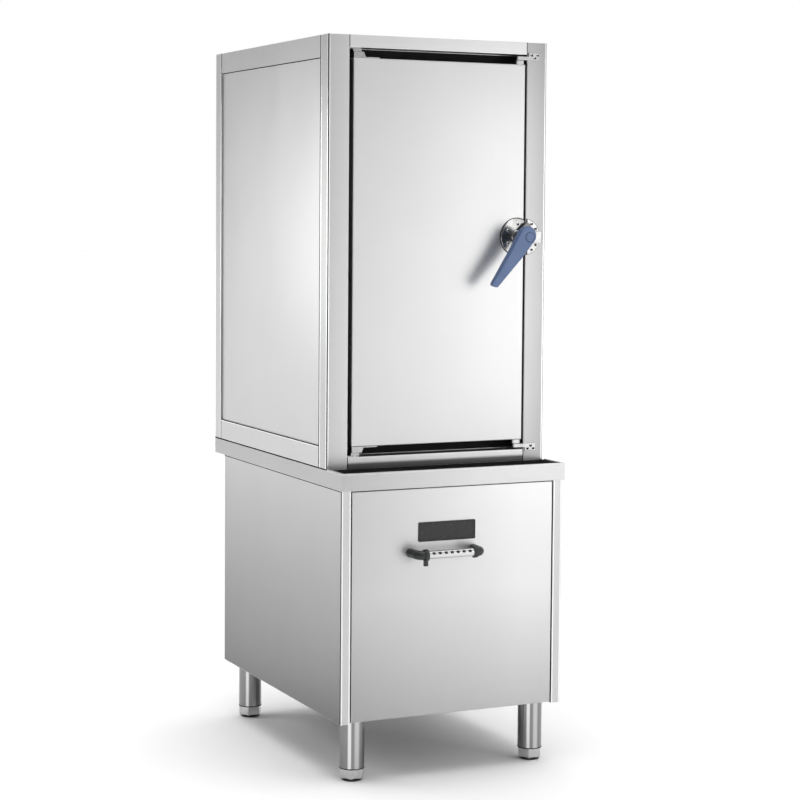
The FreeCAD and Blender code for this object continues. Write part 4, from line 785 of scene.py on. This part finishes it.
@dataclass(frozen=True)
class CabinetJoints:
    """Sealed joint lines, painted shade lines along corners and where the cabinet stands on the
    worktop, and painted highlight lines beside folds, on both sides and in front.
    """

    level_joint: Bead = Bead(2.6 * MM, 0.20 * MM)
    upright_joint: Bead = Bead(4.4 * MM, 0.25 * MM)
    corner: Bead = Bead(4.0 * MM, 0.25 * MM)
    front_corner: Bead = Bead(1.4 * MM, 0.20 * MM)
    front_joint: Bead = Bead(1.8 * MM, 0.20 * MM)
    fold_highlight: Bead = Bead(5.0 * MM, 0.30 * MM)
    front_fold_highlight: Bead = Bead(2.2 * MM, 0.15 * MM)
    level_fold_highlight: Bead = Bead(2.2 * MM, 0.20 * MM)
    foot: Bead = Bead(3.2 * MM, 0.60 * MM)

    def side(self, wardrobe: Wardrobe, outward: Vector, label: str) -> None:
        """Draw one side's lines.

        Args:
            wardrobe: Dresses the pieces.
            outward: The side's direction.
            label: The side's name.
        """
        low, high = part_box("side_rails")
        stile_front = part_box("front_stiles")[0].y
        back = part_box("rear_posts")[1].y
        panel_low, panel_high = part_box("side_panels")
        face = low.x if outward.x < 0 else high.x

        def upright(depth: float) -> Run:
            """Run up the side at a depth."""
            return Run(Vector((face, depth, low.z)), Vector((face, depth, high.z)), outward)

        def level(height: float) -> Run:
            """Run along the side rails at a height."""
            return Run(Vector((face, low.y, height)), Vector((face, high.y, height)), outward)

        half = self.level_joint.width / 2
        beside = (self.upright_joint.width + self.fold_highlight.width) / 2
        corner_depth = stile_front + self.corner.width / 2
        drawn = {
            "joint_lines": (self.upright_joint, "joint_sealant_and_painted_shade",
                            [upright(low.y), upright(high.y)]),
            "rail_lines": (self.level_joint, "joint_sealant_and_painted_shade",
                           [level(panel_low.z - half), level(panel_high.z + half)]),
            # Painted shade along the front corner of the side.
            "corner_shade_line": (self.corner, "joint_sealant_and_painted_shade", [upright(corner_depth)]),
            # Painted highlights beside the upright joints and the corner.
            "fold_highlights": (self.fold_highlight, "painted_fold_highlight",
                      [upright(low.y - beside), upright(high.y + beside),
                       upright(corner_depth + (self.corner.width + self.fold_highlight.width) / 2)]),
            # Painted highlight below the lower panel joint.
            "rail_fold_highlights": (self.level_fold_highlight, "painted_fold_highlight",
                           [level(panel_low.z - 2 * half - self.level_fold_highlight.width / 2)]),
        }
        for part, (bead, finish, runs) in drawn.items():
            name = f"{label}_{part}"
            wardrobe.hang(name, bead.lines(name, runs), finish, "cabinet")
        # Painted shadow where the cabinet stands on the worktop.
        foot = [Run(Vector((face, stile_front, low.z + self.foot.width / 2)),
                    Vector((face, back, low.z + self.foot.width / 2)), outward)]
        wardrobe.hang(f"{label}_foot_shadow_line", self.foot.lines(f"{label}_foot_shadow_line", foot),
                      "joint_sealant_and_painted_shade", "cabinet")

    def front(self, wardrobe: Wardrobe) -> None:
        """Draw the lines between the front's stiles and rails.

        Args:
            wardrobe: Dresses the pieces.
        """
        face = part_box("front_rails")[0].y
        joints = []
        for low, high in solids_of("front_rails"):
            for across in (low.x, high.x):
                joints.append(Run(Vector((across, face, low.z)), Vector((across, face, high.z)),
                                  FRONT))
        wardrobe.hang("front_joint_lines", self.front_joint.lines("front_joint_lines", joints),
                      "joint_sealant_and_painted_shade", "cabinet")
        stiles_low, stiles_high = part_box("front_stiles")
        corners = []
        fold_highlights = []
        for edge, inward in ((stiles_low.x, 1), (stiles_high.x, -1)):
            line = edge + inward * self.front_corner.width / 2
            fold_highlight = edge + inward * (self.front_corner.width + self.front_fold_highlight.width / 2)
            for across, runs in ((line, corners), (fold_highlight, fold_highlights)):
                runs.append(Run(Vector((across, face, stiles_low.z)),
                                Vector((across, face, stiles_high.z)), FRONT))
        # Painted shade along the stiles' outer corners.
        wardrobe.hang("front_corner_shade_lines",
                      self.front_corner.lines("front_corner_shade_lines", corners),
                      "joint_sealant_and_painted_shade", "cabinet")
        # Painted highlights beside the stiles' outer corners.
        wardrobe.hang("front_fold_highlights", self.front_fold_highlight.lines("front_fold_highlights", fold_highlights),
                      "painted_fold_highlight", "cabinet")

    def build(self, wardrobe: Wardrobe) -> None:
        """Draw all the cabinet's lines.

        Args:
            wardrobe: Dresses the pieces.
        """
        self.side(wardrobe, LEFT, "left")
        self.side(wardrobe, RIGHT, "right")
        self.front(wardrobe)


@dataclass(frozen=True)
class Worktop:
    """A dark sheet on the floor of the worktop's front recess as painted shade and reflection, and
    a painted shadow line under the worktop's edge.
    """

    shade_sheet_thickness: float = 0.5 * MM
    shade_sheet_gap: float = 0.6 * MM
    shade_sheet_round: float = 3.0 * MM
    corner_steps: int = 6
    edge_width: float = 8.0 * MM
    under: Bead = Bead(3.0 * MM, 0.8 * MM)

    def shade_sheet(self) -> bpy.types.Mesh:
        """Make the dark sheet that paints shade on the recess floor.

        Returns:
            Its mesh, a thin plate with rounded corners.
        """
        top_low, top_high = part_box("countertop")
        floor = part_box("front_stiles")[0].z
        inset = self.edge_width + self.shade_sheet_gap
        left, right = top_low.x + inset, top_high.x - inset
        near = top_low.y + inset
        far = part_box("front_stiles")[0].y - self.shade_sheet_gap
        shape = bmesh.new()
        outline = []
        for across, deep, start in ((right, far, 0), (left, far, 1), (left, near, 2),
                                    (right, near, 3)):
            centre = Vector((across + (1 if across < 0 else -1) * self.shade_sheet_round,
                             deep + (-1 if deep == far else 1) * self.shade_sheet_round, 0.0))
            for step in range(self.corner_steps + 1):
                angle = math.pi / 2 * (start + step / self.corner_steps)
                outline.append(centre + Vector((math.cos(angle), math.sin(angle), 0.0))
                               * self.shade_sheet_round)
        lower = [shape.verts.new((p.x, p.y, floor)) for p in outline]
        upper = [shape.verts.new((p.x, p.y, floor + self.shade_sheet_thickness)) for p in outline]
        shape.faces.new(upper)
        shape.faces.new(lower[::-1])
        for place in range(len(outline)):
            after = (place + 1) % len(outline)
            shape.faces.new((lower[place], lower[after], upper[after], upper[place]))
        return finished_mesh("recess_shade_sheet", shape)

    def build(self, wardrobe: Wardrobe) -> None:
        """Make the worktop's pieces.

        Args:
            wardrobe: Dresses the pieces.
        """
        # Painted shade on the recess floor.
        wardrobe.hang("recess_shade_sheet", self.shade_sheet(), "recess_shade_sheet", "cabinet")
        # Painted shadow under the worktop's overhang, along the base's sides.
        low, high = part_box("base_sides")
        level = high.z - self.under.width / 2
        runs = [Run(Vector((face, low.y, level)), Vector((face, high.y, level)), outward)
                for face, outward in ((low.x, LEFT), (high.x, RIGHT))]
        wardrobe.hang("worktop_under_shadow_lines", self.under.lines("worktop_under_shadow_lines", runs),
                      "joint_sealant_and_painted_shade", "cabinet")


@dataclass(frozen=True)
class BaseJoints:
    """Painted shade lines along the base's corners and painted highlight lines along its folds."""

    corner: Bead = Bead(5.0 * MM, 0.25 * MM)
    fold_highlight: Bead = Bead(2.4 * MM, 0.15 * MM)
    stile_width: float = 24.0 * MM

    def build(self, wardrobe: Wardrobe) -> None:
        """Make the base's lines.

        Args:
            wardrobe: Dresses the pieces.
        """
        low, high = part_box("base_sides")
        corners = []
        fold_highlights = []
        for face, outward in ((low.x, LEFT), (high.x, RIGHT)):
            deep = low.y + self.corner.width / 2
            corners.append(Run(Vector((face, deep, low.z)), Vector((face, deep, high.z)),
                               outward))
            for inset in (self.fold_highlight.width, self.stile_width - self.fold_highlight.width):
                across = face - outward.x * inset
                fold_highlights.append(Run(Vector((across, low.y, low.z)),
                                 Vector((across, low.y, high.z)), FRONT))
        # Painted shade along the base's front corners.
        wardrobe.hang("base_corner_shade_lines", self.corner.lines("base_corner_shade_lines", corners),
                      "joint_sealant_and_painted_shade", "cabinet")
        # Painted highlights along the base's stile folds.
        wardrobe.hang("base_fold_highlights", self.fold_highlight.lines("base_fold_highlights", fold_highlights), "painted_fold_highlight",
                      "cabinet")


@dataclass(frozen=True)
class LatchTrim:
    """Painted shadow outlines round the latch's disc and keeper plates, a painted highlight ring
    round its collar, and painted shade in the screws' driver sockets.
    """

    outline: Bead = Bead(1.6 * MM, 0.5 * MM)
    ring: Bead = Bead(2.2 * MM, 0.9 * MM)
    disc_radius: float = 46.0 * MM
    ring_radius: float = 15.5 * MM
    socket_radius: float = 2.8 * MM
    socket_height: float = 0.15 * MM
    socket_taper: float = 0.85
    socket_sides: int = 6
    keeper_steps: int = 24

    def socket_shade_mesh(self, name: str, node: str) -> bpy.types.Mesh:
        """Make a hexagonal dark patch on the head of each screw of a node, painted shade in its
        driver socket.

        Args:
            name: The mesh's name.
            node: The screws' node.

        Returns:
            The mesh.
        """
        shape = bmesh.new()
        for low, high in solids_of(node):
            centre = Vector(((low.x + high.x) / 2, low.y, (low.z + high.z) / 2))
            rims = []
            for rise, radius in ((0.0, self.socket_radius),
                                 (self.socket_height,
                                  self.socket_radius * self.socket_taper)):
                angles = [2 * math.pi * side / self.socket_sides
                          for side in range(self.socket_sides)]
                rims.append([shape.verts.new(
                    centre + Vector((math.cos(angle) * radius, -rise,
                                     math.sin(angle) * radius))) for angle in angles])
            shape.faces.new(rims[0])
            shape.faces.new(rims[1][::-1])
            for place in range(self.socket_sides):
                after = (place + 1) % self.socket_sides
                shape.faces.new((rims[0][place], rims[0][after], rims[1][after],
                                 rims[1][place]))
        return finished_mesh(name, shape)

    def keeper_arcs(self, centre: Vector) -> list[Arc]:
        """Find the rims of the keeper plates on the stile.

        Args:
            centre: The disc's centre.

        Returns:
            An arc round each plate.
        """
        arcs = []
        for low, high in solids_of("keeper_plates"):
            far = math.acos((low.x - centre.x) / self.disc_radius)
            is_upper = low.z > centre.z
            near_height = low.z - centre.z if is_upper else centre.z - high.z
            near = math.asin(near_height / self.disc_radius)
            arcs.append(Arc(Vector((centre.x, low.y, centre.z)), RIGHT, UP,
                            self.disc_radius - self.outline.width,
                            near if is_upper else -far, far - near, self.keeper_steps))
        return arcs

    def build(self, wardrobe: Wardrobe) -> None:
        """Make the latch's trim.

        Args:
            wardrobe: Dresses the pieces.
        """
        low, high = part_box("latch_plate")
        spindle_low, spindle_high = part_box("latch_spindle")
        centre = (spindle_low + spindle_high) / 2
        cut = math.acos((high.x - centre.x) / self.disc_radius)
        foot = Arc(Vector((centre.x, high.y, centre.z)), RIGHT, UP,
                   self.disc_radius + self.outline.width / 2, cut, 2 * math.pi - 2 * cut)
        # Painted shadow round the disc's foot.
        wardrobe.hang("disc_shadow_outline", self.outline.arcs("disc_shadow_outline", [foot]),
                      "joint_sealant_and_painted_shade", "door")
        # Painted shadow round the keeper plates.
        wardrobe.hang("keeper_shadow_outline",
                      self.outline.arcs("keeper_shadow_outline", self.keeper_arcs(centre)),
                      "joint_sealant_and_painted_shade", "cabinet")
        # Painted highlight ring round the collar.
        highlight_ring = Arc(Vector((centre.x, low.y, centre.z)), RIGHT, UP, self.ring_radius,
                     cut, 2 * math.pi - 2 * cut)
        wardrobe.hang("disc_highlight_ring", self.ring.arcs("disc_highlight_ring", [highlight_ring]), "painted_fold_highlight",
                      "door")
        # Painted shade in the screw sockets.
        wardrobe.hang("door_socket_shades", self.socket_shade_mesh("door_socket_shades", "door_screws"),
                      "joint_sealant_and_painted_shade", "door")
        wardrobe.hang("frame_socket_shades", self.socket_shade_mesh("frame_socket_shades", "frame_screws"),
                      "joint_sealant_and_painted_shade", "cabinet")


@dataclass(frozen=True)
class LegFootShades:
    """A dark ring at the foot of each leg tube, painted shade in the gap above the foot."""

    bead: Bead = Bead(2.4 * MM, 0.5 * MM)
    tube_radius: float = 30.0 * MM
    steps: int = 48

    def build(self, wardrobe: Wardrobe) -> None:
        """Make the four rings.

        Args:
            wardrobe: Dresses the pieces.
        """
        shape = bmesh.new()
        foot_of_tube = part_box("leg_tubes")[0].z
        for corner in ("front_left", "front_right", "rear_left", "rear_right"):
            low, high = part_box(f"foot_{corner}")
            centre = Vector(((low.x + high.x) / 2, (low.y + high.y) / 2,
                             foot_of_tube + self.bead.width / 2))
            sections = []
            for step in range(self.steps):
                angle = 2 * math.pi * step / self.steps
                spoke = Vector((math.cos(angle), math.sin(angle), 0.0))
                sections.append(self.bead.section(centre + spoke * self.tube_radius, UP, spoke))
            self.bead.skin(shape, sections, closed=True)
        # Painted shade in the gap between each tube and its foot.
        wardrobe.hang("leg_foot_shades", finished_mesh("leg_foot_shades", shape), "joint_sealant_and_painted_shade",
                      "cabinet")


@dataclass(frozen=True)
class Studio:
    """Pale floor, soft lamps and the camera at the photograph's angle."""

    camera_place: Place = (-2.2182, -4.8208, 1.3659)
    yaw: float = -25.163
    pitch: float = -3.456
    roll: float = 0.422
    focal_pixels: float = 2055.7
    image_pixels: float = 800.0
    centre_row: float = 335.1
    sensor: float = 36.0
    clip_end: float = 200.0
    floor_half: float = 60.0
    floor_tone: float = 0.97
    floor_roughness: float = 0.9
    dim_side: float = -0.70
    bright_side: float = 0.15
    dim_level: float = 0.30
    bright_level: float = 1.0
    dim_front: float = -0.90
    bright_back: float = 0.30
    front_level: float = 0.67
    zenith_start: float = 0.86
    zenith_end: float = 0.99
    zenith_level: float = 3.90
    key_place: Place = (1.45, -2.2, 1.20)
    key_aim: Place = (0.05, -0.3, 1.15)
    key_size: tuple[float, float] = (1.0, 1.4)
    key_power: float = 6.5
    side_place: Place = (-1.75, 1.05, 1.36)
    side_aim: Place = (-0.3, 0.0, 1.3)
    side_size: tuple[float, float] = (0.9, 0.7)
    side_power: float = 11.0

    def camera(self) -> None:
        """Place the camera."""
        data = bpy.data.cameras.new("camera")
        data.sensor_width = self.sensor
        data.lens = self.focal_pixels / self.image_pixels * self.sensor
        data.shift_y = (self.centre_row - self.image_pixels / 2) / self.image_pixels
        data.clip_end = self.clip_end
        camera = bpy.data.objects.new("camera", data)
        bpy.context.scene.collection.objects.link(camera)
        yaw, pitch, roll = (math.radians(a) for a in (self.yaw, self.pitch, self.roll))
        forward = Vector((-math.sin(yaw) * math.cos(pitch), math.cos(yaw) * math.cos(pitch),
                          math.sin(pitch)))
        right = Vector((math.cos(yaw), math.sin(yaw), 0.0))
        above = right.cross(forward)
        level_right = math.cos(roll) * right + math.sin(roll) * above
        level_above = -math.sin(roll) * right + math.cos(roll) * above
        turn = Matrix((level_right, level_above, -forward)).transposed().to_4x4()
        camera.matrix_world = Matrix.Translation(self.camera_place) @ turn
        bpy.context.scene.camera = camera

    def lamp(self, name: str, place: Vector, aim: Vector, size: tuple[float, float],
             power: float) -> None:
        """Hang a soft rectangular lamp.

        Args:
            name: The lamp's name.
            place: Where it hangs.
            aim: What it points at.
            size: Its width and height.
            power: Its power in watts.
        """
        data = bpy.data.lights.new(name, "AREA")
        data.shape = "RECTANGLE"
        data.size, data.size_y = size
        data.energy = power
        lamp = bpy.data.objects.new(name, data)
        lamp.location = place
        lamp.visible_camera = False
        lamp.rotation_mode = "QUATERNION"
        lamp.rotation_quaternion = (aim - place).to_track_quat("-Z", "Y")
        bpy.context.scene.collection.objects.link(lamp)

    def floor(self) -> None:
        """Lay the pale floor."""
        mesh = bpy.data.meshes.new("floor")
        half = self.floor_half
        mesh.from_pydata([(-half, -half, 0), (half, -half, 0), (half, half, 0),
                          (-half, half, 0)], [], [(0, 1, 2, 3)])
        floor = bpy.data.objects.new("floor", mesh)
        bpy.context.scene.collection.objects.link(floor)
        kit = NodeKit("floor")
        kit.shader.inputs["Base Color"].default_value = (*(self.floor_tone,) * 3, 1.0)
        kit.shader.inputs["Specular IOR Level"].default_value = 0.0
        kit.shader.inputs["Roughness"].default_value = self.floor_roughness
        mesh.materials.append(kit.material)

    def span(self, tree: bpy.types.NodeTree, source: bpy.types.NodeSocket, start: float,
             end: float, low: float, high: float) -> bpy.types.NodeSocket:
        """Turn a direction's part smoothly into a brightness.

        Args:
            tree: The world's nodes.
            source: The direction's part along one axis.
            start: Where the low brightness ends.
            end: Where the high brightness starts.
            low: The low brightness.
            high: The high brightness.

        Returns:
            The brightness's output.
        """
        span = tree.nodes.new("ShaderNodeMapRange")
        span.interpolation_type = "SMOOTHSTEP"
        span.inputs["From Min"].default_value = start
        span.inputs["From Max"].default_value = end
        span.inputs["To Min"].default_value = low
        span.inputs["To Max"].default_value = high
        tree.links.new(source, span.inputs["Value"])
        return span.outputs["Result"]

    def world(self) -> None:
        """A pale studio, brightest above, softer in front and on the left."""
        world = bpy.data.worlds.new("studio")
        bpy.context.scene.world = world
        world.use_nodes = True
        tree = world.node_tree
        place = tree.nodes.new("ShaderNodeTexCoord")
        parts = tree.nodes.new("ShaderNodeSeparateXYZ")
        tree.links.new(place.outputs["Generated"], parts.inputs["Vector"])
        across = self.span(tree, parts.outputs["X"], self.dim_side, self.bright_side,
                           self.dim_level, self.bright_level)
        room = self.span(tree, parts.outputs["Y"], self.dim_front, self.bright_back,
                         self.front_level, 1.0)
        level = tree.nodes.new("ShaderNodeMath")
        level.operation = "MULTIPLY"
        tree.links.new(across, level.inputs[0])
        tree.links.new(room, level.inputs[1])
        above = self.span(tree, parts.outputs["Z"], self.zenith_start, self.zenith_end, 0.0, 1.0)
        mix = tree.nodes.new("ShaderNodeMix")
        tree.links.new(above, mix.inputs["Factor"])
        tree.links.new(level.outputs["Value"], mix.inputs["A"])
        mix.inputs["B"].default_value = self.zenith_level
        tree.links.new(mix.outputs["Result"], tree.nodes["Background"].inputs["Strength"])
        tree.nodes["Background"].inputs["Color"].default_value = (1.0, 1.0, 1.0, 1.0)

    def build(self) -> None:
        """Set up camera, floor, world and lamps."""
        self.camera()
        self.floor()
        self.world()
        self.lamp("key", Vector(self.key_place), Vector(self.key_aim), self.key_size,
                  self.key_power)
        self.lamp("side", Vector(self.side_place), Vector(self.side_aim), self.side_size,
                  self.side_power)
        bpy.context.scene.view_settings.view_transform = "Standard"
        LOG.info("studio ready")


def main() -> None:
    """Dress the object and set up the studio."""
    logging.basicConfig(level=logging.INFO)
    wardrobe = Wardrobe()
    wardrobe.dress_nodes()
    for assembly in (CabinetJoints(), Worktop(), BaseJoints(), LatchTrim(), LegFootShades()):
        assembly.build(wardrobe)
        LOG.info("built %s", type(assembly).__name__)
    Studio().build()


if __name__ == "__main__":
    main()
